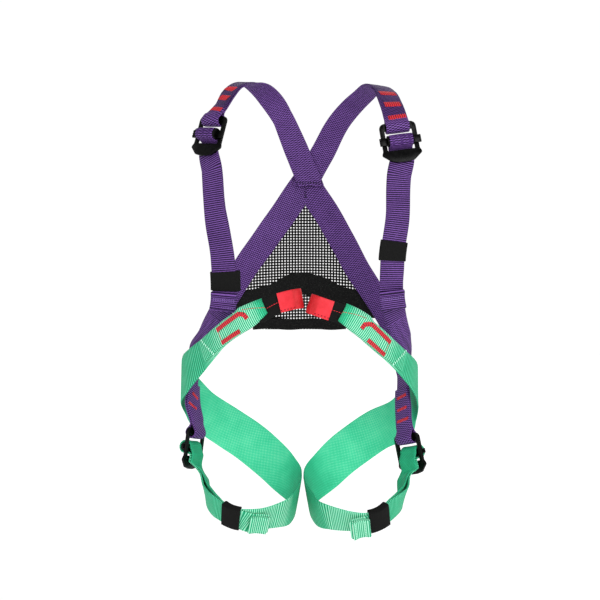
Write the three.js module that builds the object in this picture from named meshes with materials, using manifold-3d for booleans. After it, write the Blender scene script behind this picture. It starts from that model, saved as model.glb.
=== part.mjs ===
// Full body climbing harness in its worn form, in millimetres, +Z up, wearer's front towards -Y.
// The origin lies midway between the two places where the straps sit on the shoulders.
import * as THREE from 'three';
import { mergeVertices } from 'three/addons/utils/BufferGeometryUtils.js';
import Module from 'manifold-3d';

const wasm = await Module();
wasm.setup();

// Webbing and gaps
const WEB_WIDTH = 25;
const WEB_THICK = 1.8;
const GAP = 0.5;
const LAYER = WEB_THICK + GAP;
const STEP = 9;
const TAPE = { width: 20, thick: 1.5 };
const SLEEVE = { width: 20.6, thick: 1.6 };
const KEEPER_WALL = 1.1;
const FOLD_THICK = 3 * WEB_THICK;
const FOLD_STEP = 0.02;

// Buckle, in its own frame: X across the strap, Z up the strap, -Y away from the wearer
const BUCKLE = {
  thick: 3, top: 22, bottom: -22, half: 19.5, plateHalf: 21, plateTop: -9.5,
  windowHalf: 14.6, windowTop: 14, barZ: 1.5, barY: -4.2, barRadius: 4, tabHalf: 22,
  tabHeight: 8.4, tabThick: 2.2, corner: 6, shoulder: 2, tip: 8, tipDrop: 1,
};
const TOP_BAR_Z = (BUCKLE.top + BUCKLE.windowTop) / 2 - 0.6;
const TOP_BAR_ROLL = 5.5;
// Height over the top bar where a sewn loop's two layers come together
const PINCH = 9;
const SLIDE_ROLL = BUCKLE.barRadius + GAP + WEB_THICK / 2;
const PASS_SLACK = 0.4;
// How far webbing turns round a bar, as angles in degrees from straight ahead, up positive
const LOOP_TURN = { from: 25, to: -205, steps: 8 };
const SLIDE_TURN = { from: 180, to: -60, steps: 10 };

// Torso at the back: half an ellipse seen from above
const BACK = { halfWidth: 120, depth: 78 };
const MESH = { thick: 1.2, offset: 7, pitch: 8.4, bar: 2.6, firstRow: -126, columns: 8 };
const PLATE = { columns: 30, wide: 172, high: 170, middle: -190, deep: 200 };
const BAND = { thick: 1.5, offset: 5.2 };
// The net is one cloth in nearly flat strips, parted along the bars at these columns
const NET_STRIPS = ['far_left', 'left', 'middle', 'right', 'far_right'];
const NET_CUTS = [-4.5, -1.5, 1.5, 4.5];

const COLOUR = {
  purple: 0x5e3f86, green: 0x41d49d, red: 0xe8343c, elastic: 0x17171a, steel: 0x101012, net: 0x141414,
};

// Where each buckle sits, with its turns in degrees: yaw about Z, lean of its top, roll in its own plane,
// and the radius of the cheeks on its sliding bar, if it has them
const BUCKLES = {
  shoulder_buckle_left: { at: [-98.8, -64, -60], yaw: -42, lean: 16, roll: 4, cheek: 6 },
  shoulder_buckle_right: { at: [100.2, -69, -67], yaw: 6, lean: 14, roll: -8, cheek: 6 },
  leg_buckle_left: { at: [-118.6, -8, -391], yaw: -115, lean: 4, roll: -7, cheek: 0 },
  leg_buckle_right: { at: [114, -8, -397], yaw: 130, lean: 6, roll: 10, cheek: 0 },
};

// Strap routes. Columns: centre x, y, z, then the way the outer face looks fx, fy, fz, then width, thickness
const COLUMNS = ['x', 'y', 'z', 'fx', 'fy', 'fz', 'wide', 'thick'];
const SHOULDER = {
  left: [
    [9.5, 77, -107, 0, 1, 0, 27.5],
    [5.3, 76, -96, -0.1, 1, 0.1, 27.5],
    [-8.5, 70.6, -64, -0.08, 0.96, 0.26, 27],
    [-24, 55.5, -28, -0.55, 0.75, 0.4],
    [-42.5, 30, -4.5, -0.4, 0.35, 0.85],
    [-60.5, 2, 1.5, -0.3, 0, 1],
    [-74.5, -20, -5.5, -0.5, -0.35, 0.8],
    [-84.5, -43.8, -20, -0.66, -0.62, 0.38],
  ],
  right: [
    [-1, 80.15, -107, 0, 1, 0, 27],
    [4, 79.15, -97, 0, 1, 0.1, 27],
    [21, 74.6, -65.5, 0.05, 0.96, 0.28, 27],
    [41, 57, -31, 0.1, 0.8, 0.6],
    [62, 28, -8, 0.15, 0.35, 0.94],
    [73, 3, 0, 0.2, 0, 1],
    [83.5, -20, -7.5, 0.3, -0.4, 0.87],
    [92, -48, -24, 0.2, -0.75, 0.55],
  ],
};
const BACK_STRAP = {
  left: [
    [20, 83.4, -71, 0, 1, 0, 30],
    [2.5, 83.4, -97, 0, 1, 0, 30],
    [-26.5, 79, -139, -0.2, 0.97, 0, 30],
    [-63.5, 68.5, -192, -0.45, 0.9, 0, 30],
    [-90.5, 49, -239, -0.65, 0.76, 0, 29],
    [-108, 25, -272, -0.85, 0.53, 0, 27],
    [-118, 8, -306, -0.96, 0.28, 0, 25],
    [-121, -1, -342, -0.85, 0.53, 0, 25],
  ],
  right: [
    [-16, 83.4, -71, 0, 1, 0, 30],
    [1.5, 83.4, -97, 0, 1, 0, 30],
    [28.5, 79, -139, 0.2, 0.97, 0, 29.5],
    [59, 70, -195, 0.45, 0.9, 0, 30],
    [86, 50, -239, 0.65, 0.76, 0, 29],
    [99, 27, -272, 0.75, 0.66, 0, 27],
    [106.5, 10, -311, 0.93, 0.37, 0, 25],
    [108, 2, -347, 0.8, 0.6, 0, 25],
  ],
};
const CHEST = {
  left: [
    [-123.4, 8, -306, -0.96, 0.28, 0],
    [-123.2, -6, -292, -1, 0, 0],
    [-104, -31, -270, -0.55, -0.83, 0],
    [-85, -60, -236, -0.1, -1, 0],
    [-84.5, -72, -191, -0.1, -1, 0],
    [-92, -76, -138, -0.5, -0.86, 0],
    [-95.5, -70.5, -95, -0.57, -0.8, 0.1],
  ],
  right: [
    [111.8, 11, -311, 0.93, 0.37, 0],
    [115, -5, -298, 1, 0, 0],
    [106, -30, -275, 0.62, -0.78, 0],
    [93.5, -57, -236, 0.15, -0.99, 0],
    [91.5, -72, -191, 0.1, -1, 0],
    [97, -77, -143, 0.05, -1, 0],
    [98.6, -72, -101, 0.1, -0.98, 0.1],
  ],
};
const LEG = {
  left: [
    [-39, -92, -241, -0.05, -1, 0.1, 24.8, 7.8],
    [-54.5, -90, -248.5, -0.15, -1, 0.1, 26, 7],
    [-71.5, -84, -258, -0.3, -0.95, 0.1, 26, 5.5],
    [-89.5, -70, -271, -0.55, -0.8, 0.1, 26, 4.5],
    [-106.5, -48, -287.5, -0.8, -0.6, 0.05, 32, 3.6],
    [-127, -18, -309, -0.96, -0.2, 0, 47, 2.4],
    [-131.6, 8, -321.5, -1, 0.05, 0, 47],
    [-121.8, 31, -337.5, -0.84, 0.53, 0, 46],
    [-109.5, 50, -355, -0.6, 0.8, 0, 46],
    [-82.5, 64, -374, -0.25, 0.97, 0, 46],
    [-52.5, 64, -395, 0.15, 0.98, -0.1, 46],
    [-26.5, 48, -418, 0.6, 0.75, -0.25, 45],
    [-7, 12, -438, 1, 0.1, -0.16, 44],
    [-14, -28, -453, 0.75, -0.6, -0.3, 38],
    [-27.5, -52, -457, 0.35, -0.85, -0.4, 31],
    [-48, -66, -459, 0.1, -0.83, -0.55, 27],
    [-66.5, -70, -458, -0.1, -0.8, -0.6],
    [-78, -67, -455, -0.3, -0.76, -0.55],
    [-90, -57, -448, -0.72, -0.64, -0.27],
    [-100, -38, -435, -0.98, 0.12, 0],
    [-106.5, -21, -418, -0.92, 0.38, 0],
  ],
  right: [
    [38, -92, -245.5, 0.05, -1, 0.1, 24.8, 7.8],
    [52.5, -90, -254, 0.15, -1, 0.1, 26, 7],
    [69.5, -84, -267, 0.3, -0.95, 0.1, 26, 5.5],
    [87.5, -70, -282, 0.55, -0.8, 0.1, 26, 4.5],
    [104.5, -48, -297, 0.8, -0.6, 0.05, 28, 3.6],
    [119, -18, -314, 0.95, -0.25, 0, 36, 2.4],
    [122, 8, -327, 1, 0.05, 0, 41],
    [115, 31, -346, 0.85, 0.5, 0, 44],
    [106.5, 50, -362, 0.6, 0.8, 0, 46],
    [81.5, 64, -376, 0.25, 0.97, 0, 46],
    [52.5, 64, -396, -0.15, 0.98, -0.1, 46],
    [26.5, 48, -417, -0.6, 0.75, -0.25, 45],
    [4, 12, -438, -1, 0.1, -0.16, 44],
    [12.5, -28, -455, -0.75, -0.6, -0.3, 38],
    [25, -52, -459, -0.35, -0.85, -0.4, 31],
    [48, -66, -462, -0.1, -0.83, -0.55, 27],
    [64.5, -70, -462, 0.1, -0.8, -0.6],
    [77.5, -67, -458.5, 0.3, -0.76, -0.55],
    [90.5, -56, -450, 0.74, -0.62, -0.25],
    [102, -36, -437, 0.96, 0.25, 0],
    [106.5, -20, -420, 0.82, 0.57, 0],
  ],
};

// Places along a strap are counted in table rows, so 3.5 is midway between rows 3 and 4.
// A tail lies on its strap down to its folded end, which reaches from fold to end.
const CHEST_TAIL = { left: { fold: 3.3, end: 2.84 }, right: { fold: 3.34, end: 2.88 } };
const LEG_TAIL = { left: { fold: 15.5, end: 14.3 }, right: { fold: 16.05, end: 14.95 } };
// A loop's inner end runs from a share of a row before the pinch up to SEWN_TO
const SEWN_TO = { shoulder: 5.7, hip: 6.45 };
const LOOP_MOUTH = 0.05;
const CROSSING_END = -103;
// Where the two back straps meet under the crossing
const MITRE_X = 2;
const KEEPERS = {
  chest_keeper_left: { rows: CHEST.left, from: 3.37, to: 3.79, clear: 0.7 },
  chest_keeper_right: { rows: CHEST.right, from: 4.03, to: 4.44, clear: 0.7 },
  leg_keeper_left: { rows: LEG.left, from: 16, to: 17.4, clear: 1.1 },
  leg_keeper_right: { rows: LEG.right, from: 16.2, to: 17.6, clear: 1.1 },
};

// Tie-in loops: the middle of the loop, the way to its mouth in the leg strap, and the loop's half gap
const TIE_IN = {
  left: { end: [-4.6, -94, -229.5], mouth: [-39, -92, -241], inside: [-49, -90.8, -246] },
  right: { end: [7.2, -94, -235], mouth: [38, -92, -245.5], inside: [48, -90.8, -251] },
};
const TIE_IN_BEND = 6;
const BEND_FACETS = 9;
const TIE_IN_LEG = { back: 14, closing: 0.8 };
const POCKET = { wide: 21.8, thick: 5.2, length: 26 };
const POCKET_SPREAD = 1.1;

// Back panel outlines, as x and z seen from the front
const MESH_OUTLINE = [[-3, -116], [7, -116], [66, -216], [47, -264], [-57, -264], [-72, -216]];
const BAND_TOP = [
  [-78, -229], [-66, -222], [-34, -212], [-19, -203], [-5, -200.5], [10, -202], [25, -206.5], [41, -215],
  [61, -221], [73, -229], [81, -241],
];
const BAND_BOTTOM = [
  [81, -251], [47, -251], [27, -238], [12, -228], [-4, -225], [-18, -228], [-30, -238], [-57, -251],
  [-78, -244],
];
const BINDING_OUTLINE = [[-57, -252], [47, -252], [47, -264.5], [-57, -264.5]];

const vec = (list) => new THREE.Vector3(...list);
const harness = new THREE.Group();

function addMesh(name, geometry, colour, roughness = 0.8, metalness = 0) {
  const material = new THREE.MeshStandardMaterial({ color: colour, roughness, metalness });
  const mesh = new THREE.Mesh(geometry, material);
  mesh.name = name;
  harness.add(mesh);
}

// Positions only, with shared vertices merged
function bare(geometry) {
  geometry.deleteAttribute('normal');
  geometry.deleteAttribute('uv');
  return mergeVertices(geometry, 1e-4);
}

function toSolid(geometry) {
  const merged = bare(geometry);
  const vertProperties = new Float32Array(merged.attributes.position.array);
  const triVerts = new Uint32Array(merged.index.array);
  return new wasm.Manifold(new wasm.Mesh({ numProp: 3, vertProperties, triVerts }));
}

function fromSolid(solid) {
  const mesh = solid.getMesh();
  const geometry = new THREE.BufferGeometry();
  geometry.setAttribute('position', new THREE.BufferAttribute(new Float32Array(mesh.vertProperties), 3));
  geometry.setIndex(new THREE.BufferAttribute(new Uint32Array(mesh.triVerts), 1));
  return geometry;
}

function boxAt(size, centre) {
  return new THREE.BoxGeometry(...size).translate(...centre);
}

// One place along a strap, from a table row
function station(row) {
  const cell = Object.fromEntries(COLUMNS.map((name, i) => [name, row[i]]));
  return {
    at: new THREE.Vector3(cell.x, cell.y, cell.z),
    face: new THREE.Vector3(cell.fx, cell.fy, cell.fz).normalize(),
    wide: cell.wide ?? WEB_WIDTH,
    thick: cell.thick ?? WEB_THICK,
  };
}

const turnedOver = (place) => ({ ...place, face: place.face.clone().negate() });

function curveThrough(stations) {
  return new THREE.CatmullRomCurve3(stations.map((place) => place.at), false, 'centripetal');
}

// The strap's own axes at a place counted in stations
function frameAt(stations, curve, place) {
  const spans = stations.length - 1;
  const i = Math.min(Math.floor(place), spans - 1);
  const share = place - i;
  const [a, b] = [stations[i], stations[i + 1]];
  const along = curve.getTangent(place / spans);
  const across = a.face.clone().lerp(b.face, share).cross(along).normalize();
  return {
    at: curve.getPoint(place / spans),
    along,
    across,
    out: along.clone().cross(across).normalize(),
    wide: THREE.MathUtils.lerp(a.wide, b.wide, share),
    thick: THREE.MathUtils.lerp(a.thick, b.thick, share),
  };
}

// Frames along a smooth curve through the stations, a step apart
function framesAlong(stations, step = STEP) {
  const curve = curveThrough(stations);
  const frames = [];
  for (let i = 0; i < stations.length - 1; i += 1) {
    const parts = Math.max(1, Math.round(stations[i].at.distanceTo(stations[i + 1].at) / step));
    for (let j = 0; j < parts; j += 1) frames.push(frameAt(stations, curve, i + j / parts));
  }
  frames.push(frameAt(stations, curve, stations.length - 1));
  return frames;
}

// Stations that follow a strap from one place to another, lifted off its middle
function follow(stations, from, to, lift, section) {
  const curve = curveThrough(stations);
  const [start, finish] = [from, to].map((place) => curve.getPoint(place / (stations.length - 1)));
  const length = start.distanceTo(finish);
  const parts = Math.max(2, Math.round(length / STEP));
  return Array.from({ length: parts + 1 }, (_, i) => {
    const frame = frameAt(stations, curve, THREE.MathUtils.lerp(from, to, i / parts));
    return { at: frame.at.addScaledVector(frame.out, lift), face: frame.out, ...section };
  });
}

// A flat strap: a box bent along the frames
function ribbon(frames) {
  const steps = frames.length - 1;
  const geometry = bare(new THREE.BoxGeometry(1, 1, 1, 1, 1, steps));
  const position = geometry.attributes.position;
  for (let i = 0; i < position.count; i += 1) {
    const frame = frames[Math.round((position.getZ(i) + 0.5) * steps)];
    const point = frame.at.clone()
      .addScaledVector(frame.across, position.getX(i) * frame.wide)
      .addScaledVector(frame.out, position.getY(i) * frame.thick);
    position.setXYZ(i, point.x, point.y, point.z);
  }
  return geometry;
}

function buckleMatrix(name) {
  const { at, yaw, lean, roll } = BUCKLES[name];
  const [x, y, z] = [-lean, roll, yaw].map(THREE.MathUtils.degToRad);
  const turn = new THREE.Quaternion().setFromEuler(new THREE.Euler(x, y, z, 'ZXY'));
  return new THREE.Matrix4().compose(vec(at), turn, new THREE.Vector3(1, 1, 1));
}

// A strap's place in a buckle's own frame: depth y and height z, with the face at an angle from the front
function buckleStation(matrix, y, z, angle) {
  const face = new THREE.Vector3(0, -Math.cos(angle), Math.sin(angle));
  return {
    at: new THREE.Vector3(0, y, z).applyMatrix4(matrix),
    face: face.transformDirection(matrix),
    wide: WEB_WIDTH,
    thick: WEB_THICK,
  };
}

// Stations on a roll of webbing round a bar, from one angle to another
function rollStations(matrix, bar, radius, { from, to, steps }) {
  return Array.from({ length: steps + 1 }, (_, i) => {
    const angle = THREE.MathUtils.degToRad(THREE.MathUtils.lerp(from, to, i / steps));
    const y = bar.y - radius * Math.cos(angle);
    return buckleStation(matrix, y, bar.z + radius * Math.sin(angle), angle);
  });
}

// A strap sewn into a loop round the buckle's top bar: down its front, under it and back up inside itself
function loopedStrap(rows, buckle, sewnTo) {
  const matrix = buckleMatrix(buckle);
  const main = [...rows.map(station), buckleStation(matrix, -LAYER / 2, TOP_BAR_Z + PINCH, 0.15)];
  const outer = [...main, ...rollStations(matrix, { y: 0, z: TOP_BAR_Z }, TOP_BAR_ROLL, LOOP_TURN)];
  const section = { wide: WEB_WIDTH, thick: WEB_THICK };
  const inner = follow(outer, main.length - 1 - LOOP_MOUTH, sewnTo, -LAYER, section);
  return toSolid(ribbon(framesAlong([...outer, ...inner.map(turnedOver)])));
}

// The adjusting strap's way through a buckle: up behind the plate, over the bar, down behind the plate
function slideRoll(matrix) {
  const bar = { y: BUCKLE.barY, z: BUCKLE.barZ };
  const outer = BUCKLE.thick / 2 + GAP + WEB_THICK / 2 + PASS_SLACK / 4;
  const inner = outer + LAYER + 3 * PASS_SLACK / 4;
  const low = BUCKLE.bottom + BUCKLE.corner;
  return {
    rise: [
      buckleStation(matrix, inner, low, Math.PI),
      buckleStation(matrix, inner, BUCKLE.plateTop + 2, Math.PI),
    ],
    roll: rollStations(matrix, bar, SLIDE_ROLL, SLIDE_TURN),
    fall: [
      buckleStation(matrix, outer - PASS_SLACK, BUCKLE.plateTop + WEB_THICK, -0.5),
      buckleStation(matrix, outer, BUCKLE.plateTop - 2, 0),
      buckleStation(matrix, outer, low, 0),
    ],
  };
}

// Buckle frame: a steel plate with a window, its lower part wider and blunt-pointed
function buckleFrame() {
  const b = BUCKLE;
  const outline = new THREE.Shape();
  const shoulder = b.plateTop - b.shoulder;
  const halves = [[b.half - b.corner, b.top], [b.half, b.top - b.corner], [b.half, b.plateTop + b.tipDrop],
    [b.plateHalf, shoulder], [b.plateHalf, shoulder - b.shoulder], [b.tip, b.bottom + b.tipDrop]];
  halves.forEach(([x, z], i) => (i ? outline.lineTo(-x, z) : outline.moveTo(-x, z)));
  outline.quadraticCurveTo(0, b.bottom - b.tipDrop, b.tip, b.bottom + b.tipDrop);
  halves.reverse().slice(1).forEach(([x, z]) => outline.lineTo(x, z));
  const window = new THREE.Path();
  window.moveTo(-b.windowHalf, b.plateTop);
  window.lineTo(b.windowHalf, b.plateTop);
  window.lineTo(b.windowHalf, b.windowTop);
  window.lineTo(-b.windowHalf, b.windowTop);
  outline.holes.push(window);
  const plate = new THREE.ExtrudeGeometry(outline, { depth: b.thick, bevelEnabled: false, curveSegments: 6 });
  return plate.rotateX(Math.PI / 2).translate(0, b.thick / 2, 0);
}

// Sliding bar, with tabs that ride on the front of the frame's side rails, and cheeks inside them
function buckleBar(cheekRadius) {
  const b = BUCKLE;
  const armInner = WEB_WIDTH / 2 + GAP;
  const armOuter = b.windowHalf - GAP;
  const railFront = -b.thick / 2 - GAP;
  const tabFront = railFront - b.tabThick;
  const rod = new THREE.CylinderGeometry(b.barRadius, b.barRadius, 2 * armOuter, 12, 1);
  let bar = toSolid(rod.rotateZ(Math.PI / 2).translate(0, b.barY, b.barZ));
  for (const side of [-1, 1]) {
    const tab = boxAt(
      [b.tabHalf - armInner, railFront - tabFront, b.tabHeight],
      [side * (b.tabHalf + armInner) / 2, (railFront + tabFront) / 2, b.barZ],
    );
    bar = bar.add(toSolid(tab));
    if (cheekRadius > 0) {
      const disc = new THREE.CylinderGeometry(cheekRadius, cheekRadius, armOuter - armInner, 16, 1);
      const cheek = disc.rotateZ(Math.PI / 2).translate(side * (armOuter + armInner) / 2, b.barY, b.barZ);
      bar = bar.add(toSolid(cheek));
    }
  }
  return fromSolid(bar);
}

function addBuckles() {
  for (const name of Object.keys(BUCKLES)) {
    const matrix = buckleMatrix(name);
    addMesh(name, bare(buckleFrame()).applyMatrix4(matrix), COLOUR.steel, 0.35, 0.6);
    addMesh(`${name}_bar`, buckleBar(BUCKLES[name].cheek).applyMatrix4(matrix), COLOUR.steel, 0.35, 0.6);
  }
}

// Everything on one side of a plane of constant x or z, as a box to cut away
const HUGE = 400;
const beyondX = (x, side) => toSolid(boxAt([HUGE, HUGE, HUGE], [x + side * HUGE / 2, 0, 0]));
const belowZ = (z) => toSolid(boxAt([HUGE, HUGE, HUGE], [0, 0, z - HUGE / 2]));

function addShoulderStrap(side) {
  const strap = loopedStrap(SHOULDER[side], `shoulder_buckle_${side}`, SEWN_TO.shoulder);
  addMesh(`shoulder_strap_${side}`, fromSolid(strap.subtract(belowZ(CROSSING_END))), COLOUR.purple);
}

function addBackStrap(side) {
  const sign = side === 'left' ? 1 : -1;
  const strap = loopedStrap(BACK_STRAP[side], `leg_buckle_${side}`, SEWN_TO.hip);
  const mitred = strap.subtract(beyondX(MITRE_X - sign * GAP / 2, sign));
  addMesh(`back_strap_${side}`, fromSolid(mitred), COLOUR.purple);
}

// A strap that runs up to a buckle, round its bar and back as a tail on its own outer face
function adjustedStrap(rows, buckle, { fold, end }) {
  const pass = slideRoll(buckleMatrix(buckle));
  const main = rows.map(station);
  const rising = [...main.map(turnedOver), ...pass.rise];
  const tail = follow(rising, main.length - 1, fold, -LAYER, { wide: WEB_WIDTH, thick: WEB_THICK });
  const foldLift = -LAYER - (FOLD_THICK - WEB_THICK) / 2;
  const folded = follow(rising, fold - FOLD_STEP, end, foldLift, { wide: WEB_WIDTH, thick: FOLD_THICK });
  const falling = [...tail, ...folded].map(turnedOver);
  return ribbon(framesAlong([...rising, ...pass.roll, ...pass.fall, ...falling]));
}

function addChestStrap(side) {
  const strap = adjustedStrap(CHEST[side], `shoulder_buckle_${side}`, CHEST_TAIL[side]);
  addMesh(`chest_strap_${side}`, strap, COLOUR.purple);
}

function addLegStrap(side) {
  const strap = adjustedStrap(LEG[side], `leg_buckle_${side}`, LEG_TAIL[side]);
  const { mouth, inside } = TIE_IN[side];
  const pocket = new THREE.BoxGeometry(POCKET.wide, POCKET.thick, POCKET.length);
  const along = vec(mouth).sub(vec(inside)).normalize();
  const out = new THREE.Vector3(0, -1, 0).projectOnPlane(along).normalize();
  const basis = new THREE.Matrix4().makeBasis(out.clone().cross(along), out, along).setPosition(vec(mouth));
  const solid = toSolid(strap).subtract(toSolid(pocket.applyMatrix4(basis)));
  addMesh(`leg_strap_${side}`, fromSolid(solid), COLOUR.green);
}

// Elastic sleeve round a strap and its tail
function addKeeper(name) {
  const { rows, from, to, clear } = KEEPERS[name];
  const main = rows.map(station);
  const past = (to - from) / 10;
  const sleeve = (extra, wide, thick) => {
    const places = follow(main, from - extra, to + extra, LAYER / 2, { wide, thick });
    return toSolid(ribbon(framesAlong(places)));
  };
  const stack = LAYER + WEB_THICK + 2 * clear;
  const hole = WEB_WIDTH + 2 * clear;
  const outer = sleeve(0, hole + 2 * KEEPER_WALL, stack + 2 * KEEPER_WALL);
  addMesh(name, fromSolid(outer.subtract(sleeve(past, hole, stack))), COLOUR.elastic, 0.9);
}

// Plan of a tie-in loop: out along its front, round the bend, back along its rear
function tieInFrames(side, out, section) {
  const { end, mouth, inside } = TIE_IN[side];
  const towards = vec(end).sub(vec(mouth)).normalize();
  const front = new THREE.Vector3(0, -1, 0).projectOnPlane(towards).normalize();
  const bend = TIE_IN_BEND + out;
  const centre = vec(end).addScaledVector(towards, -TIE_IN_BEND);
  const place = (at, face) => ({ at, face, ...section });
  const arc = Array.from({ length: BEND_FACETS + 1 }, (_, i) => {
    const angle = Math.PI / 2 - (i / BEND_FACETS) * Math.PI;
    const face = front.clone().multiplyScalar(Math.sin(angle)).addScaledVector(towards, Math.cos(angle));
    return place(centre.clone().addScaledVector(face, bend), face);
  });
  const leg = (sign) => [
    place(
      centre.clone().addScaledVector(towards, -TIE_IN_LEG.back)
        .addScaledVector(front, sign * (bend - TIE_IN_LEG.closing)),
      front,
    ),
    place(vec(mouth).addScaledVector(front, sign * POCKET_SPREAD), front),
    place(vec(inside).addScaledVector(front, sign * POCKET_SPREAD), front),
  ];
  const flip = (list) => list.map(turnedOver);
  return { arc, front: leg(1).reverse(), rear: flip(leg(-1)) };
}

function addTieIn(side) {
  const tape = tieInFrames(side, 0, { wide: TAPE.width, thick: TAPE.thick });
  const loop = framesAlong([...tape.front, ...tape.arc, ...tape.rear], TIE_IN_BEND);
  addMesh(`tie_in_loop_${side}`, ribbon(loop), COLOUR.elastic);
  const away = TAPE.thick / 2 + GAP + SLEEVE.thick / 2;
  const cover = tieInFrames(side, away, { wide: SLEEVE.width, thick: SLEEVE.thick });
  const sleeve = framesAlong([cover.front[2], ...cover.arc, cover.rear[0]], TIE_IN_BEND);
  addMesh(`tie_in_sleeve_${side}`, ribbon(sleeve), COLOUR.red, 0.7);
}

// A sheet that follows the back: a plate of small steps in x, cut to an outline seen from the front
function backSheet(outline, offset, thick) {
  const plate = bare(new THREE.BoxGeometry(PLATE.wide, thick, PLATE.high, PLATE.columns, 1, 1));
  const position = plate.attributes.position;
  for (let i = 0; i < position.count; i += 1) {
    const x = position.getX(i);
    const y = BACK.depth * Math.sqrt(1 - (x / BACK.halfWidth) ** 2) + offset + position.getY(i);
    position.setXYZ(i, x, y, position.getZ(i) + PLATE.middle);
  }
  const shape = new THREE.Shape(outline.map(([x, z]) => new THREE.Vector2(x, z)));
  const prism = new THREE.ExtrudeGeometry(shape, { depth: PLATE.deep, bevelEnabled: false });
  return toSolid(plate).intersect(toSolid(prism.rotateX(Math.PI / 2).translate(0, PLATE.deep, 0)));
}

// Net: square gaps on a grid, kept inside the outline by a margin
function addBackPanel() {
  const shape = MESH_OUTLINE.map(([x, z]) => new THREE.Vector2(x, z));
  const clearOfEdge = (x, z) => [[-1, -1], [1, -1], [1, 1], [-1, 1]].every(([i, k]) => {
    const reach = MESH.pitch / 2 + MESH.bar / 2;
    return insideOutline(shape, x + i * reach, z + k * reach);
  });
  let net = backSheet(MESH_OUTLINE, MESH.offset, MESH.thick);
  const gap = MESH.pitch - MESH.bar;
  const lowest = Math.min(...MESH_OUTLINE.map(([, z]) => z));
  for (let z = MESH.firstRow; z > lowest; z -= MESH.pitch) {
    for (let column = -MESH.columns; column <= MESH.columns; column += 1) {
      const x = column * MESH.pitch;
      const hole = boxAt([gap, PLATE.deep, gap], [x, PLATE.deep / 2, z]);
      if (clearOfEdge(x, z)) net = net.subtract(toSolid(hole));
    }
  }
  const cuts = [-PLATE.wide / 2, ...NET_CUTS.map((column) => column * MESH.pitch), PLATE.wide / 2];
  NET_STRIPS.forEach((name, i) => {
    const wide = cuts[i + 1] - cuts[i] - GAP;
    const middle = (cuts[i] + cuts[i + 1]) / 2;
    const slab = boxAt([wide, PLATE.deep, PLATE.high], [middle, PLATE.deep / 2, PLATE.middle]);
    addMesh(`back_mesh_${name}`, fromSolid(net.intersect(toSolid(slab))), COLOUR.net, 0.9);
  });
  const band = backSheet([...BAND_TOP, ...BAND_BOTTOM], BAND.offset, BAND.thick);
  addMesh('waist_band', fromSolid(band), COLOUR.elastic, 0.9);
  const binding = backSheet(BINDING_OUTLINE, BAND.offset, BAND.thick);
  addMesh('bottom_binding', fromSolid(binding), COLOUR.elastic, 0.9);
}

// Even-odd test of a point against a closed outline
function insideOutline(points, x, z) {
  let inside = false;
  points.forEach((a, i) => {
    const b = points[(i + 1) % points.length];
    const crosses = (a.y > z) !== (b.y > z);
    if (crosses && x < a.x + ((z - a.y) * (b.x - a.x)) / (b.y - a.y)) inside = !inside;
  });
  return inside;
}

addBuckles();
for (const side of ['left', 'right']) {
  addShoulderStrap(side);
  addBackStrap(side);
  addChestStrap(side);
  addLegStrap(side);
  addTieIn(side);
}
Object.keys(KEEPERS).forEach(addKeeper);
addBackPanel();

export default harness;
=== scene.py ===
"""Looks of a full body climbing harness in its worn form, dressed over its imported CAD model.

All tables are in millimetres in the CAD frame: +X to the viewer's right, wearer's front towards -Y, +Z up.
A place along a strap is a count of its table's rows, so 2.5 is midway between the third row and the fourth.
"""

from __future__ import annotations

import logging
import math
from dataclasses import dataclass, field
from enum import Enum
from typing import Callable, Iterable, Protocol, Sequence

import bmesh
import bpy
from bmesh.types import BMEdge, BMesh, BMLayerCollection, BMLayerItem, BMVert
from bpy.types import Material, Node, NodeSocket, NodeTree, Object
from mathutils import Euler, Matrix, Vector

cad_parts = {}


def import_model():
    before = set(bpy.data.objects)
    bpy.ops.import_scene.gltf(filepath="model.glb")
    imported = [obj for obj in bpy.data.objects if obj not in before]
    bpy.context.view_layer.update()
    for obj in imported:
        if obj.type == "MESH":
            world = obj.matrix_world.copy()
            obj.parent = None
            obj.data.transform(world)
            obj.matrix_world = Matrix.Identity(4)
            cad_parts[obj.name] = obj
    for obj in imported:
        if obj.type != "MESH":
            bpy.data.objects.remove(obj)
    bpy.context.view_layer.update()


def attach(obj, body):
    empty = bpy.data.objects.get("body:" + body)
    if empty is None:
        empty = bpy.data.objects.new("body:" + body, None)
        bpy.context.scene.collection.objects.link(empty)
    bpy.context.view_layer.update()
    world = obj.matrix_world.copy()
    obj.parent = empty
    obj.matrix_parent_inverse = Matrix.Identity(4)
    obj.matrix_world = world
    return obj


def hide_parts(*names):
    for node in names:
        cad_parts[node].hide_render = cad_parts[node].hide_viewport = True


LOG = logging.getLogger("harness")
MM = 0.001
TURN = 2 * math.pi

# The weave's UV map, in millimetres across and along, and the vertex attributes that the webbing reads; the shade
# attribute holds painted shade
WEAVE_MAP = "weave"
RIBBED = "ribbed"
SHADE = "shade"

# Webbing, the air between two layers, and the spacing of the layers in a folded tail
WEB_WIDTH = 25.0
WEB_THICK = 1.8
GAP = 0.5
LAYER = WEB_THICK + GAP
FOLD_LAYER = 1.95
# A sewn loop's radius round the top bar, the height of its pinch over the bar, and where its inner end sets off
TOP_BAR_ROLL = 5.5
PINCH = 9.0
LOOP_MOUTH = 0.05
# Where the straps are cut at the crossing on the back
CROSSING_END = -103.0
MITRE_X = 2.0
# How far a tack's middle line stands off a strap's face
TACK_RISE = 0.25
# Distance between a smooth strap's rows of faces, and the rows to a rib on a ribbed one
ROW_STEP = 0.8
RIB_ROWS = 4
# Counts to either side of a place that give a strap's direction there
NEAR = 0.004

Row = tuple[float, ...]
Point = tuple[float, float, float]
Outline = tuple[tuple[float, float], ...]
Section = Sequence[tuple[float, float]]
Line = Sequence[tuple[Vector, Vector]]
Relief = Callable[[float, float, float], tuple[float, float]]
Along = Callable[[float], float]
Inputs = dict[int | str, object]


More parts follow.
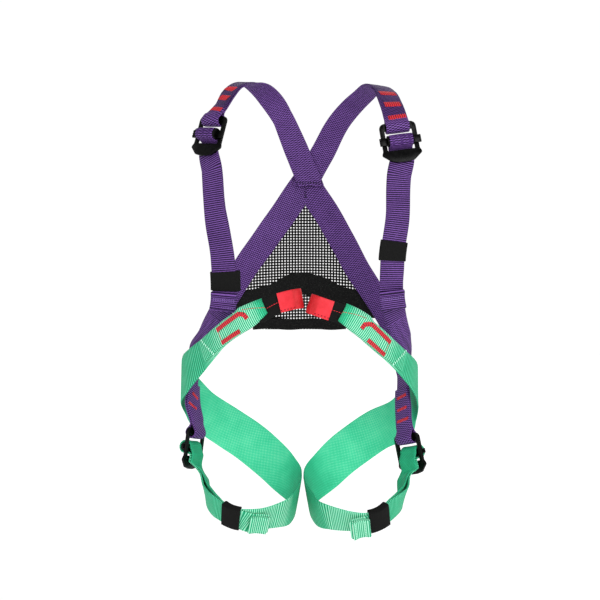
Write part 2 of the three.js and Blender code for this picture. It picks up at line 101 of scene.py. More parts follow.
class Side(Enum):
    """The two sides of the harness, as the viewer sees them."""

    LEFT = "left"
    RIGHT = "right"

    @property
    def sign(self) -> int:
        """-1 on the left and 1 on the right."""
        return -1 if self is Side.LEFT else 1


class Weave(Enum):
    """How the plain face of a webbing is woven."""

    DASHED = "short dashes across, staggered like bricks"
    DOTTED = "small staggered dots"


# Strap routes. Columns: x, y, z, the way the outer face looks fx, fy, fz, then width and thickness
SHOULDER: dict[Side, tuple[Row, ...]] = {
    Side.LEFT: (
        (9.5, 77, -107, 0, 1, 0, 27.5),
        (5.3, 76, -96, -0.1, 1, 0.1, 27.5),
        (-8.5, 70.6, -64, -0.08, 0.96, 0.26, 27),
        (-24, 55.5, -28, -0.55, 0.75, 0.4),
        (-42.5, 30, -4.2, -0.28, 0.35, 0.9),
        (-61, 2, 3.5, 0.13, 0, 1, 26.5),
        (-75.2, -20, -3.6, -0.45, -0.38, 0.82, 28),
        (-84.5, -43.8, -20, -0.66, -0.62, 0.38),
    ),
    Side.RIGHT: (
        (-1, 80.15, -107, 0, 1, 0, 27),
        (4, 79.15, -97, 0, 1, 0.1, 27),
        (21, 74.6, -65.5, 0.05, 0.96, 0.28, 27),
        (41, 57, -31, 0.1, 0.8, 0.6),
        (64.5, 28, -8, 0.15, 0.35, 0.94),
        (76, 3, 0.4, 0.1, 0, 1),
        (85.5, -20, -6.4, 0.26, -0.4, 0.87),
        (92, -48, -24, 0.2, -0.75, 0.55),
    ),
}
BACK_STRAP: dict[Side, tuple[Row, ...]] = {
    Side.LEFT: (
        (20, 83.4, -71, 0, 1, 0, 30),
        (2.5, 83.4, -97, 0, 1, 0, 30),
        (-26.5, 79, -139, -0.2, 0.97, 0, 30),
        (-63.5, 68.5, -192, -0.45, 0.9, 0, 30),
        (-90.5, 49, -239, -0.65, 0.76, 0, 29),
        (-108, 25, -272, -0.85, 0.53, 0, 27),
        (-118, 8, -306, -0.96, 0.28, 0, 25),
        (-121, -1, -342, -0.85, 0.53, 0, 25),
    ),
    Side.RIGHT: (
        (-16, 83.4, -71, 0, 1, 0, 30),
        (1.5, 83.4, -97, 0, 1, 0, 30),
        (28.5, 79, -139, 0.2, 0.97, 0, 29.5),
        (59, 70, -195, 0.45, 0.9, 0, 30),
        (86, 50, -239, 0.65, 0.76, 0, 29),
        (99, 27, -272, 0.75, 0.66, 0, 27),
        (106.5, 10, -311, 0.93, 0.37, 0, 25),
        (108, 2, -347, 0.8, 0.6, 0, 25),
    ),
}
CHEST: dict[Side, tuple[Row, ...]] = {
    Side.LEFT: (
        (-123.4, 8, -306, -0.96, 0.28, 0),
        (-123.2, -6, -292, -1, 0, 0),
        (-104, -31, -270, -0.55, -0.83, 0),
        (-85, -60, -236, -0.1, -1, 0),
        (-84.5, -72, -191, -0.1, -1, 0),
        (-92, -76, -138, -0.5, -0.86, 0),
        (-95.5, -70.5, -95, -0.57, -0.8, 0.1),
    ),
    Side.RIGHT: (
        (111.8, 11, -311, 0.93, 0.37, 0),
        (115, -5, -298, 1, 0, 0),
        (106, -30, -275, 0.62, -0.78, 0),
        (93.5, -57, -236, 0.15, -0.99, 0),
        (91.5, -72, -191, 0.1, -1, 0),
        (97, -77, -143, 0.05, -1, 0),
        (98.6, -72, -101, 0.1, -0.98, 0.1),
    ),
}
LEG: dict[Side, tuple[Row, ...]] = {
    Side.LEFT: (
        (-39, -92, -241, -0.05, -1, 0.1, 24.8, 7.8),
        (-54.5, -90, -248.5, -0.15, -1, 0.1, 26, 7),
        (-71.5, -84, -258, -0.3, -0.95, 0.1, 26, 5.5),
        (-89.5, -70, -271, -0.55, -0.8, 0.1, 26, 4.5),
        (-106.5, -48, -287.5, -0.8, -0.6, 0.05, 32, 3.6),
        (-127, -18, -309, -0.96, -0.2, 0, 47, 2.4),
        (-131.6, 8, -321.5, -1, 0.05, 0, 47),
        (-121.8, 31, -337.5, -0.84, 0.53, 0, 46),
        (-109.5, 50, -355, -0.6, 0.8, 0, 46),
        (-82.5, 64, -374, -0.25, 0.97, 0, 46),
        (-52.5, 64, -395, 0.15, 0.98, -0.1, 46),
        (-26.5, 48, -418, 0.6, 0.75, -0.25, 45),
        (-7, 12, -438, 1, 0.1, -0.16, 44),
        (-14, -28, -453, 0.75, -0.6, -0.3, 38),
        (-27.5, -52, -457, 0.35, -0.85, -0.4, 31),
        (-48, -66, -459, 0.1, -0.83, -0.55, 27),
        (-66.5, -70, -458, -0.1, -0.8, -0.6),
        (-78, -67, -455, -0.3, -0.76, -0.55),
        (-90, -57, -448, -0.72, -0.64, -0.27),
        (-100, -38, -435, -0.98, 0.12, 0),
        (-106.5, -21, -418, -0.92, 0.38, 0),
    ),
    Side.RIGHT: (
        (38, -92, -245.5, 0.05, -1, 0.1, 24.8, 7.8),
        (52.5, -90, -254, 0.15, -1, 0.1, 26, 7),
        (69.5, -84, -267, 0.3, -0.95, 0.1, 26, 5.5),
        (87.5, -70, -282, 0.55, -0.8, 0.1, 26, 4.5),
        (104.5, -48, -297, 0.8, -0.6, 0.05, 28, 3.6),
        (119, -18, -314, 0.95, -0.25, 0, 36, 2.4),
        (122, 8, -327, 1, 0.05, 0, 41),
        (115, 31, -346, 0.85, 0.5, 0, 44),
        (106.5, 50, -362, 0.6, 0.8, 0, 46),
        (81.5, 64, -376, 0.25, 0.97, 0, 46),
        (52.5, 64, -396, -0.15, 0.98, -0.1, 46),
        (26.5, 48, -417, -0.6, 0.75, -0.25, 45),
        (4, 12, -438, -1, 0.1, -0.16, 44),
        (12.5, -28, -455, -0.75, -0.6, -0.3, 38),
        (25, -52, -459, -0.35, -0.85, -0.4, 31),
        (48, -66, -462, -0.1, -0.83, -0.55, 27),
        (64.5, -70, -462, 0.1, -0.8, -0.6),
        (77.5, -67, -458.5, 0.3, -0.76, -0.55),
        (90.5, -56, -450, 0.74, -0.62, -0.25),
        (102, -36, -437, 0.96, 0.25, 0),
        (106.5, -20, -420, 0.82, 0.57, 0),
    ),
}


def linear(colour: str) -> tuple[float, float, float, float]:
    """Turn an sRGB hex colour to linear light.

    Args:
        colour: Six hex digits.

    Returns:
        Red, green, blue and an alpha of 1.
    """
    parts = [int(colour[i:i + 2], 16) / 255 for i in (0, 2, 4)]
    red, green, blue = (p / 12.92 if p <= 0.04045 else ((p + 0.055) / 1.055) ** 2.4 for p in parts)
    return (red, green, blue, 1.0)


def clamp(*shares: float) -> float:
    """Return the least of some shares, kept between 0 and 1."""
    return max(0.0, min(1.0, *shares))


def per_metre(size_mm: float) -> float:
    """Return the scale of a noise whose cells have a size in millimetres."""
    return 1 / (size_mm * MM)


def node(tree: NodeTree, kind: str, inputs: Inputs | None = None, **settings: object) -> Node:
    """Add a node with its settings and links.

    Args:
        tree: The node tree.
        kind: Blender's name of the node.
        inputs: Values, sockets, or nodes that give their first output, by input name or number.
        **settings: Properties of the node.

    Returns:
        The new node.
    """
    made = tree.nodes.new(kind)
    for key, value in settings.items():
        setattr(made, key, value)
    for key, value in (inputs or {}).items():
        source = value.outputs[0] if isinstance(value, Node) else value
        if isinstance(source, NodeSocket):
            tree.links.new(source, made.inputs[key])
        else:
            made.inputs[key].default_value = source
    return made


@dataclass(frozen=True)
class Finish:
    """A material that is made once and shared."""

    name: str

    def material(self) -> Material:
        """Look the material up, and make it the first time.

        Returns:
            The material.
        """
        found = bpy.data.materials.get(self.name)
        if found:
            return found
        made = bpy.data.materials.new(self.name)
        made.use_nodes = True
        tree = made.node_tree
        tree.nodes.clear()
        shader = node(tree, "ShaderNodeBsdfPrincipled", self.wire(tree))
        node(tree, "ShaderNodeOutputMaterial", {"Surface": shader})
        return made

    def wire(self, tree: NodeTree) -> Inputs:
        """Make the patterns of colour, relief and gloss.

        Args:
            tree: The material's nodes.

        Returns:
            Inputs for the Principled shader.
        """
        raise NotImplementedError

    def paint(self, tree: NodeTree, share: object, *stops: tuple[float, str]) -> Node:
        """Turn a pattern to dye, through a ramp.

        Args:
            tree: The material's nodes.
            share: The pattern, which says where on the ramp each point lies.
            *stops: Place and sRGB hex colour of each stop.

        Returns:
            The colour.
        """
        ramp = node(tree, "ShaderNodeValToRGB", {0: share})
        points = ramp.color_ramp.elements
        while len(points) < len(stops):
            points.new(0.5)
        for point, (place, colour) in zip(points, stops):
            point.position = place
            point.color = linear(colour)
        return ramp

    def wave(self, tree: NodeTree, value: object, pitch: float) -> Node:
        """Make a cosine from 0 to 1 of a length in millimetres.

        Args:
            tree: The material's nodes.
            value: The length.
            pitch: The distance from crest to crest.

        Returns:
            The wave.
        """
        angle = node(tree, "ShaderNodeMath", {0: value, 1: TURN / pitch}, operation="MULTIPLY")
        crest = node(tree, "ShaderNodeMath", {0: angle}, operation="COSINE")
        return node(tree, "ShaderNodeMath", {0: crest, 1: 0.5, 2: 0.5}, operation="MULTIPLY_ADD")

    def chart(self, tree: NodeTree) -> tuple[NodeSocket, NodeSocket]:
        """Return the millimetres across and along a strap, from its weave map."""
        axes = node(tree, "ShaderNodeSeparateXYZ", {0: node(tree, "ShaderNodeUVMap", uv_map=WEAVE_MAP)})
        return axes.outputs[0], axes.outputs[1]

    def add_painted_shade(self, tree: NodeTree, share: Node) -> Node:
        """Take the painted shade in the piece's shade attribute off a pattern, so that the colour is darker where
        shade falls.
        """
        deep = node(tree, "ShaderNodeAttribute", attribute_name=SHADE).outputs["Fac"]
        return node(tree, "ShaderNodeMath", {0: share, 1: deep}, operation="SUBTRACT")


@dataclass(frozen=True)
class Webbing(Finish):
    """Woven polyester webbing: cross ribs catch the light on the outer face, the other face is smoother."""

    dark: str
    base: str
    light: str
    rib_mm: float
    plain: Weave
    # Real picks are about 1 mm apart; they are drawn coarser so that they show in the render
    plain_mm: float
    yarn_mm: float = 1.3
    # Columns of dashes are staggered in pairs of this width, and lean a little
    column_mm: float = 5.8
    lean: float = 0.12
    # Uneven dye, and the fuzz of single fibres, drawn coarser than it is
    dye_mm: float = 22.22
    fuzz_mm: float = 0.7143
    bump_mm: float = 0.25

    def plain_face(self, tree: NodeTree, across: NodeSocket, along: NodeSocket) -> Node:
        """Make the pattern of the smoother face: staggered dashes, or dots where two diagonals cross.

        Args:
            tree: The material's nodes.
            across: Millimetres across the strap.
            along: Millimetres along it.

        Returns:
            The pattern.
        """
        if self.plain is Weave.DASHED:
            slope = node(tree, "ShaderNodeMath", {0: across, 1: self.lean, 2: along}, operation="MULTIPLY_ADD")
            column = node(tree, "ShaderNodeMath", {0: self.wave(tree, across, self.column_mm)}, operation="ROUND")
            bent = node(tree, "ShaderNodeMath", {0: column, 1: self.plain_mm / 2, 2: slope},
                        operation="MULTIPLY_ADD")
            return self.wave(tree, bent, self.plain_mm)
        slopes = [node(tree, "ShaderNodeMath", {0: across, 1: way, 2: along}, operation="MULTIPLY_ADD")
                  for way in (1.0, -1.0)]
        first, second = (self.wave(tree, slope, self.plain_mm) for slope in slopes)
        faint = node(tree, "ShaderNodeMath", {0: second, 1: 0.3}, operation="MULTIPLY")
        return node(tree, "ShaderNodeMath", {0: first, 1: faint, 2: 0.42}, operation="MULTIPLY_ADD")

    def wire(self, tree: NodeTree) -> Inputs:
        """Mix ribs and plain weave by the strap's own attribute, with faint uneven dye and painted shade from the
        shade attribute.

        Args:
            tree: The material's nodes.

        Returns:
            Inputs for the Principled shader.
        """
        across, along = self.chart(tree)
        ribbed = node(tree, "ShaderNodeAttribute", attribute_name=RIBBED).outputs["Fac"]
        yarn = node(tree, "ShaderNodeMath", {0: self.wave(tree, across, self.yarn_mm), 1: 0.25, 2: -0.2},
                    operation="MULTIPLY_ADD")
        ribs = node(tree, "ShaderNodeMath", {0: self.wave(tree, along, self.rib_mm), 1: yarn}, operation="ADD")
        face = node(tree, "ShaderNodeMix", {0: ribbed, 2: self.plain_face(tree, across, along), 3: ribs})
        place = node(tree, "ShaderNodeTexCoord").outputs["Object"]
        dye = node(tree, "ShaderNodeTexNoise", {"Vector": place, "Scale": per_metre(self.dye_mm), "Detail": 3.0})
        fuzz = node(tree, "ShaderNodeTexNoise", {"Vector": place, "Scale": per_metre(self.fuzz_mm), "Detail": 2.0})
        mottle = node(tree, "ShaderNodeMath", {0: dye, 1: 0.25, 2: -0.165}, operation="MULTIPLY_ADD")
        thread = node(tree, "ShaderNodeMath", {0: fuzz, 1: 0.2, 2: mottle}, operation="MULTIPLY_ADD")
        share = node(tree, "ShaderNodeMath", {0: face, 1: 0.95, 2: thread}, operation="MULTIPLY_ADD")
        height = node(tree, "ShaderNodeMath", {0: fuzz, 1: 0.35, 2: face}, operation="MULTIPLY_ADD")
        return {
            # Painted shade from the shade attribute darkens the colour
            "Base Color": self.paint(tree, self.add_painted_shade(tree, share), (0.2, self.dark), (0.54, self.base),
                                     (1.0, self.light)),
            "Normal": node(tree, "ShaderNodeBump",
                           {"Strength": 0.55, "Distance": self.bump_mm * MM, "Height": height}),
            "Roughness": node(tree, "ShaderNodeMath", {0: fuzz, 1: 0.25, 2: 0.42}, operation="MULTIPLY_ADD"),
            "Specular IOR Level": 0.12,
        }


@dataclass(frozen=True)
class Elastic(Finish):
    """Black woven elastic: matte, with fine ridges along the stretch that give a faint grey grain."""

    dark: str = "060606"
    light: str = "1B1B1A"
    # Rubber threads lie about 0.8 mm apart; drawn coarser so that they show
    ridge_mm: float = 1.3
    fuzz_mm: float = 1.111
    bump_mm: float = 0.2

    def wire(self, tree: NodeTree) -> Inputs:
        """Grain across and along, dull and slightly fuzzy.

        Args:
            tree: The material's nodes.

        Returns:
            Inputs for the Principled shader.
        """
        across, along = self.chart(tree)
        ridge = self.wave(tree, across, self.ridge_mm)
        pick = self.wave(tree, along, self.ridge_mm * 0.8)
        grain = node(tree, "ShaderNodeMath", {0: pick, 1: 0.5, 2: ridge}, operation="MULTIPLY_ADD")
        place = node(tree, "ShaderNodeTexCoord").outputs["Object"]
        fuzz = node(tree, "ShaderNodeTexNoise", {"Vector": place, "Scale": per_metre(self.fuzz_mm), "Detail": 3.0})
        share = node(tree, "ShaderNodeMath", {0: grain, 1: 0.3}, operation="MULTIPLY")
        tint = node(tree, "ShaderNodeMath", {0: fuzz, 1: 0.5, 2: share}, operation="MULTIPLY_ADD")
        return {
            "Base Color": self.paint(tree, tint, (0.2, self.dark), (1.0, self.light)),
            "Normal": node(tree, "ShaderNodeBump",
                           {"Strength": 0.5, "Distance": self.bump_mm * MM, "Height": tint}),
            "Roughness": 0.82,
            "Specular IOR Level": 0.12,
        }


@dataclass(frozen=True)
class Knit(Finish):
    """Black polyester knit, for the net, the band and the binding: matte threads, with small loops painted lighter
    as glints.
    """

    dark: str = "050505"
    light: str = "30302D"
    loop_mm: float = 1.6
    fuzz_mm: float = 1.4286
    bump_mm: float = 0.3

    def wire(self, tree: NodeTree) -> Inputs:
        """Small round loops, painted lighter as glints of light, over a dark ground.

        Args:
            tree: The material's nodes.

        Returns:
            Inputs for the Principled shader.
        """
        place = node(tree, "ShaderNodeTexCoord").outputs["Object"]
        cells = node(tree, "ShaderNodeTexVoronoi", {"Vector": place, "Scale": per_metre(self.loop_mm)})
        loops = node(tree, "ShaderNodeMapRange", {0: cells.outputs["Distance"], 1: 0.0, 2: 0.6, 3: 1.0, 4: 0.0})
        fuzz = node(tree, "ShaderNodeTexNoise", {"Vector": place, "Scale": per_metre(self.fuzz_mm), "Detail": 3.0})
        share = node(tree, "ShaderNodeMath", {0: loops, 1: fuzz}, operation="MULTIPLY")
        return {
            # The knit loops are painted lighter as glints
            "Base Color": self.paint(tree, share, (0.15, self.dark), (0.75, self.light)),
            "Normal": node(tree, "ShaderNodeBump",
                           {"Strength": 0.6, "Distance": self.bump_mm * MM, "Height": loops}),
            "Roughness": 0.75,
            "Specular IOR Level": 0.15,
        }


@dataclass(frozen=True)
class Sleeving(Finish):
    """Red woven nylon sleeve: dense, almost smooth, with a soft sheen where it bends."""

    dark: str = "AC0E14"
    base: str = "D82633"
    light: str = "E84653"
    thread_mm: float = 1.1
    dye_mm: float = 6.25
    bump_mm: float = 0.15

    def wire(self, tree: NodeTree) -> Inputs:
        """Fine plain weave in two directions, with painted shade from the shade attribute.

        Args:
            tree: The material's nodes.

        Returns:
            Inputs for the Principled shader.
        """
        warp, weft = (self.wave(tree, way, self.thread_mm) for way in self.chart(tree))
        both = node(tree, "ShaderNodeMath", {0: warp, 1: weft}, operation="MULTIPLY")
        place = node(tree, "ShaderNodeTexCoord").outputs["Object"]
        dye = node(tree, "ShaderNodeTexNoise", {"Vector": place, "Scale": per_metre(self.dye_mm), "Detail": 3.0})
        even = node(tree, "ShaderNodeMath", {0: dye, 1: 0.3, 2: 0.32}, operation="MULTIPLY_ADD")
        share = node(tree, "ShaderNodeMath", {0: both, 1: 0.2, 2: even}, operation="MULTIPLY_ADD")
        return {
            # Painted shade from the shade attribute darkens the colour
            "Base Color": self.paint(tree, self.add_painted_shade(tree, share), (0.2, self.dark), (0.5, self.base),
                                     (0.95, self.light)),
            "Normal": node(tree, "ShaderNodeBump",
                           {"Strength": 0.35, "Distance": self.bump_mm * MM, "Height": both}),
            "Roughness": 0.55,
            "Specular IOR Level": 0.25,
        }


@dataclass(frozen=True)
class Thread(Finish):
    """Bonded polyester sewing thread: tight twisted strands, each with a thin shine."""

    base: str
    shade: str
    # Strands lie 0.5 mm apart; drawn coarser so that the ladder of a tack shows
    strand_mm: float = 2.3

    def wire(self, tree: NodeTree) -> Inputs:
        """Darken the furrows between neighbouring strands.

        Args:
            tree: The material's nodes.

        Returns:
            Inputs for the Principled shader.
        """
        strand = self.wave(tree, self.chart(tree)[1], self.strand_mm)
        colour = self.paint(tree, strand, (0.05, self.shade), (0.6, self.base))
        return {"Base Color": colour, "Roughness": 0.5, "Specular IOR Level": 0.25}


@dataclass(frozen=True)
class BlackSteel(Finish):
    """Stamped steel with a black coat: satin, with grey where handling has polished it."""

    coat: str = "020202"
    worn: str = "0A0A0A"
    wear_mm: float = 4.5455
    grit_mm: float = 0.3846
    bump_mm: float = 0.05

    def wire(self, tree: NodeTree) -> Inputs:
        """Faint tumbled texture in colour and roughness.

        Args:
            tree: The material's nodes.

        Returns:
            Inputs for the Principled shader.
        """
        place = node(tree, "ShaderNodeTexCoord").outputs["Object"]
        wear = node(tree, "ShaderNodeTexNoise", {"Vector": place, "Scale": per_metre(self.wear_mm), "Detail": 4.0})
        grit = node(tree, "ShaderNodeTexNoise", {"Vector": place, "Scale": per_metre(self.grit_mm), "Detail": 2.0})
        return {
            "Base Color": self.paint(tree, wear, (0.45, self.coat), (0.85, self.worn)),
            "Roughness": node(tree, "ShaderNodeMapRange", {0: wear, 1: 0.3, 2: 0.75, 3: 0.24, 4: 0.42}),
            "Normal": node(tree, "ShaderNodeBump",
                           {"Strength": 0.12, "Distance": self.bump_mm * MM, "Height": grit}),
            "Specular IOR Level": 0.1,
        }


@dataclass(frozen=True)
class PaleFloor(Finish):
    """Matte white studio floor with a barely visible grain, lit from below further out so that no edge shows."""

    dim: str = "E8E8E8"
    bright: str = "EBEBEB"
    grain_mm: float = 33.33

    def wire(self, tree: NodeTree) -> Inputs:
        """Near white all over.

        Args:
            tree: The material's nodes.

        Returns:
            Inputs for the Principled shader.
        """
        place = node(tree, "ShaderNodeTexCoord").outputs["Object"]
        grain = node(tree, "ShaderNodeTexNoise", {"Vector": place, "Scale": per_metre(self.grain_mm)})
        away = node(tree, "ShaderNodeVectorMath", {0: place}, operation="LENGTH").outputs["Value"]
        return {
            "Base Color": self.paint(tree, grain, (0.3, self.dim), (0.7, self.bright)),
            "Emission Strength": node(tree, "ShaderNodeMapRange", {0: away, 1: 0.8, 2: 4.0, 3: 0.42, 4: 0.75},
                                      interpolation_type="SMOOTHSTEP"),
            "Emission Color": linear("FFFFFF"),
            "Roughness": 0.9,
        }


PURPLE_RIBBED = Webbing("purple polyester webbing", dark="170A26", base="422361", light="7C55A2", rib_mm=2.2,
                        plain=Weave.DASHED, plain_mm=2.3)
GREEN_RIBBED = Webbing("mint polyester webbing", dark="1F8E64", base="38CF9A", light="BFE9D3", rib_mm=2.1,
                       plain=Weave.DOTTED, plain_mm=2.5)
BLACK_ELASTIC = Elastic("black woven elastic")
BLACK_TAPE = Elastic("black nylon tape", ridge_mm=1.0)
BLACK_KNIT = Knit("black polyester knit")
RED_SLEEVE = Sleeving("red nylon sleeve")
RED_THREAD = Thread("red bonded thread", base="D62A37", shade="4E0A14")
DARK_RED_THREAD = Thread("dark red bonded thread", base="84131D", shade="4E0A14")
PALE_THREAD = Thread("pale green bonded thread", base="C4F7E2", shade="79D9B2")
PURPLE_THREAD = Thread("purple bonded thread", base="8E72B8", shade="3D2A5E")
DARK_THREAD = Thread("dark purple bonded thread", base="26143A", shade="120820")
BLACK_STEEL = BlackSteel("black coated steel")


@dataclass(frozen=True)
class Place:
    """One point of a strap's middle line: where it is, the way its face looks, and its section there."""

    at: Vector
    face: Vector
    wide: float = WEB_WIDTH
    thick: float = WEB_THICK

    def turned(self) -> Place:
        """The same place with the other face up."""
        return Place(self.at, -self.face, self.wide, self.thick)


@dataclass(frozen=True)
class Frame:
    """A strap's own axes at one point, with its section."""

    at: Vector
    along: Vector
    across: Vector
    out: Vector
    wide: float
    thick: float


def from_row(row: Row) -> Place:
    """Read one row of a strap table."""
    return Place(Vector(row[:3]), Vector(row[3:6]).normalized(), *row[6:])


@dataclass
class Route:
    """A smooth line through places, counted in places, so 2.5 is midway between the third and the fourth."""

    places: list[Place]

    @property
    def last(self) -> int:
        """The count of the final place."""
        return len(self.places) - 1

    @classmethod
    def of(cls, rows: Iterable[Row]) -> Route:
        """A route through the rows of a strap table."""
        return cls([from_row(row) for row in rows])

    def between(self, count: float) -> tuple[int, float]:
        """The place before a count, and the share of the way on to the next one."""
        i = min(max(int(math.floor(count)), 0), self.last - 1)
        return i, count - i

    def point(self, count: float) -> Vector:
        """Return the point at a count, on a centripetal spline.

        Args:
            count: Where on the route.

        Returns:
            The point, in millimetres.
        """
        points = self.places
        i, share = self.between(count)
        b, c = points[i].at, points[i + 1].at
        a = points[i - 1].at if i > 0 else b * 2 - c
        d = points[i + 2].at if i + 2 <= self.last else c * 2 - b
        before, here, after = (max((q - p).length, 1e-6) ** 0.5 for p, q in ((a, b), (b, c), (c, d)))
        leave = ((b - a) / before - (c - a) / (before + here) + (c - b) / here) * here
        arrive = ((c - b) / here - (d - b) / (here + after) + (d - c) / after) * here
        square, cube = share * share, share ** 3
        return (b + leave * share + ((c - b) * 3 - leave * 2 - arrive) * square
                + ((b - c) * 2 + leave + arrive) * cube)

    def frame(self, count: float) -> Frame:
        """Return the strap's axes at a count.

        Args:
            count: Where on the route.

        Returns:
            The frame there.
        """
        i, share = self.between(count)
        a, b = self.places[i], self.places[i + 1]
        along = (self.point(min(count + NEAR, self.last)) - self.point(max(count - NEAR, 0))).normalized()
        across = a.face.lerp(b.face, share).cross(along).normalized()
        wide = a.wide + (b.wide - a.wide) * share
        thick = a.thick + (b.thick - a.thick) * share
        return Frame(self.point(count), along, across, along.cross(across).normalized(), wide, thick)

    def marks(self, step: float) -> list[tuple[float, float]]:
        """Return counts at even distances along the route.

        Args:
            step: The distance between marks, about, in millimetres.

        Returns:
            Count and distance from the start of each mark.
        """
        fine = 16
        counts = [i / fine for i in range(self.last * fine + 1)]
        points = [self.point(c) for c in counts]
        lengths = [0.0]
        for p, q in zip(points, points[1:]):
            lengths.append(lengths[-1] + (q - p).length)
        parts = max(2, round(lengths[-1] / step))
        found, i = [], 0
        for k in range(parts + 1):
            goal = lengths[-1] * k / parts
            while i < len(lengths) - 2 and lengths[i + 1] < goal:
                i += 1
            span = max(lengths[i + 1] - lengths[i], 1e-9)
            found.append((counts[i] + (counts[i + 1] - counts[i]) * (goal - lengths[i]) / span, goal))
        return found

    def beside(self, start: float, end: float, lift: float, step: float = 9.0, wide: float = WEB_WIDTH,
               thick: float = WEB_THICK) -> list[Place]:
        """Return places that follow the route from one count to another, lifted off its face.

        Args:
            start: First count.
            end: Last count, which may be lower.
            lift: Distance off the middle line, along the face.
            step: Distance between places.
            wide: Their width.
            thick: Their thickness.

        Returns:
            The places.
        """
        parts = max(2, round((self.point(end) - self.point(start)).length / step))
        made = []
        for i in range(parts + 1):
            frame = self.frame(start + (end - start) * i / parts)
            made.append(Place(frame.at + frame.out * lift, frame.out, wide, thick))
        return made

    def on_face(self, count: float, across: float, lift: float) -> tuple[Vector, Vector]:
        """Return a point on a strap's face and the way the face looks there.

        Args:
            count: Where along the route.
            across: Millimetres from the middle line.
            lift: Height over the middle line, negative on the other face.

        Returns:
            The point, and the outward direction.
        """
        frame = self.frame(count)
        side = 1 if lift >= 0 else -1
        return frame.at + frame.across * across + frame.out * lift, frame.out * side


def spots_between(ends: Outline, parts: int) -> list[tuple[float, float]]:
    """Return evenly spaced spots on a line, as counts along a strap and millimetres across it."""
    (t0, u0), (t1, u1) = ends
    return [(t0 + (t1 - t0) * i / parts, u0 + (u1 - u0) * i / parts) for i in range(parts + 1)]


def flat_section(steps: int = 6) -> list[tuple[float, float]]:
    """Return a flat strap's section with round edges, in half widths and half thicknesses.

    Args:
        steps: Faces across each side.

    Returns:
        Points round the section, from one edge.
    """
    flat, side, rise = 0.93, 0.985, 0.62
    spots = [-flat + 2 * flat * i / steps for i in range(steps + 1)]
    top = [(a, 1.0) for a in spots]
    bottom = [(a, -1.0) for a in reversed(spots)]
    return [(-1.0, 0.0), (-side, rise), *top, (side, rise), (1.0, 0.0), (side, -rise), *bottom, (-side, -rise)]


def round_section(steps: int) -> list[tuple[float, float]]:
    """Return an oval section, in half widths and half thicknesses."""
    angles = [TURN * i / steps + math.pi for i in range(steps)]
    return [(math.cos(a), -math.sin(a)) for a in angles]


def layer(layers: BMLayerCollection, name: str) -> BMLayerItem:
    """Return a mesh's layer by its name, and make it the first time."""
    return layers.get(name) or layers.new(name)


def close_ends(bm: BMesh) -> None:
    """Fill every open rim of a mesh."""
    bmesh.ops.holes_fill(bm, edges=[e for e in bm.edges if e.is_boundary], sides=0)


def cut_off(bm: BMesh, at: Sequence[float], way: Sequence[float]) -> None:
    """Cut a mesh at a plane and drop what lies beyond it.

    Args:
        bm: The mesh.
        at: A point of the plane, in the mesh's own units.
        way: The way to what is dropped.
    """
    geom = bm.verts[:] + bm.edges[:] + bm.faces[:]
    bmesh.ops.bisect_plane(bm, geom=geom, plane_co=at, plane_no=way, clear_outer=True)


def round_edges(bm: BMesh, edges: list[BMEdge], offset: float, segments: int = 2) -> None:
    """Bevel edges of a mesh round.

    Args:
        bm: The mesh.
        edges: The edges.
        offset: Width of the bevel on each face, in the mesh's own units.
        segments: Faces across it.
    """
    bmesh.ops.bevel(bm, geom=edges, offset=offset, offset_type="OFFSET", affect="EDGES", segments=segments,
                    profile=0.5, material=-1)


def no_relief(_length: float, _a: float, _o: float) -> tuple[float, float]:
    """A smooth surface."""
    return 0.0, 0.0


def sweep(bm: BMesh, route: Route, section: Section, step: float, relief: Relief = no_relief,
          ribbed: Callable[[float, float], float] | None = None, capped: bool = True, pace: Along | None = None,
          shade: Along | None = None) -> None:
    """Bend a grid round a section and along a route, and add it to a mesh.

    Args:
        bm: The mesh.
        route: The middle line, in millimetres.
        section: Points round the section.
        step: Distance between rows.
        relief: Extra millimetres across and outward, from distance along and the section's point.
        ribbed: Share of ribs in the weave, from count along and the section's height.
        capped: Whether the ends are closed.
        pace: Pattern millimetres per real one, from count along; below 1 the weave is drawn coarser.
        shade: Painted shade, from count along; above 0 the colour is painted darker, as in creases and inside turns
            where shade falls.
    """
    marks = route.marks(step)
    lengths = [0.0]
    for (count, here), (_, there) in zip(marks, marks[1:]):
        lengths.append(lengths[-1] + (there - here) * (pace(count) if pace else 1.0))
    frames = [route.frame(count) for count, _ in marks]
    rows, ring = len(marks) - 1, len(section)
    chart = layer(bm.loops.layers.uv, WEAVE_MAP)
    share = layer(bm.verts.layers.float, RIBBED)
    # The shade attribute carries painted shade, which darkens the colour where shade falls
    depth = layer(bm.verts.layers.float, SHADE)
    made = bmesh.ops.create_grid(bm, x_segments=rows, y_segments=ring, size=0.5)["verts"]
    spot = {v: (round((v.co.x + 0.5) * rows), round((v.co.y + 0.5) * ring)) for v in made}
    for face in {f for v in made for f in v.link_faces}:
        for loop in face.loops:
            i, k = spot[loop.vert]
            a, o = section[k % ring]
            edge = (1 - abs(o)) * frames[i].thick / 2
            loop[chart].uv = (a * frames[i].wide / 2 + math.copysign(edge, a), lengths[i])
    for v, (i, k) in spot.items():
        a, o = section[k % ring]
        frame = frames[i]
        aside, up = relief(lengths[i], a, o)
        v.co = (frame.at + frame.across * (a * frame.wide / 2 + aside)
                + frame.out * (o * frame.thick / 2 + up)) * MM
        v[share] = ribbed(marks[i][0], o) if ribbed else 0.0
        v[depth] = shade(marks[i][0]) if shade else 0.0
    bmesh.ops.remove_doubles(bm, verts=made, dist=1e-7)
    if capped:
        close_ends(bm)


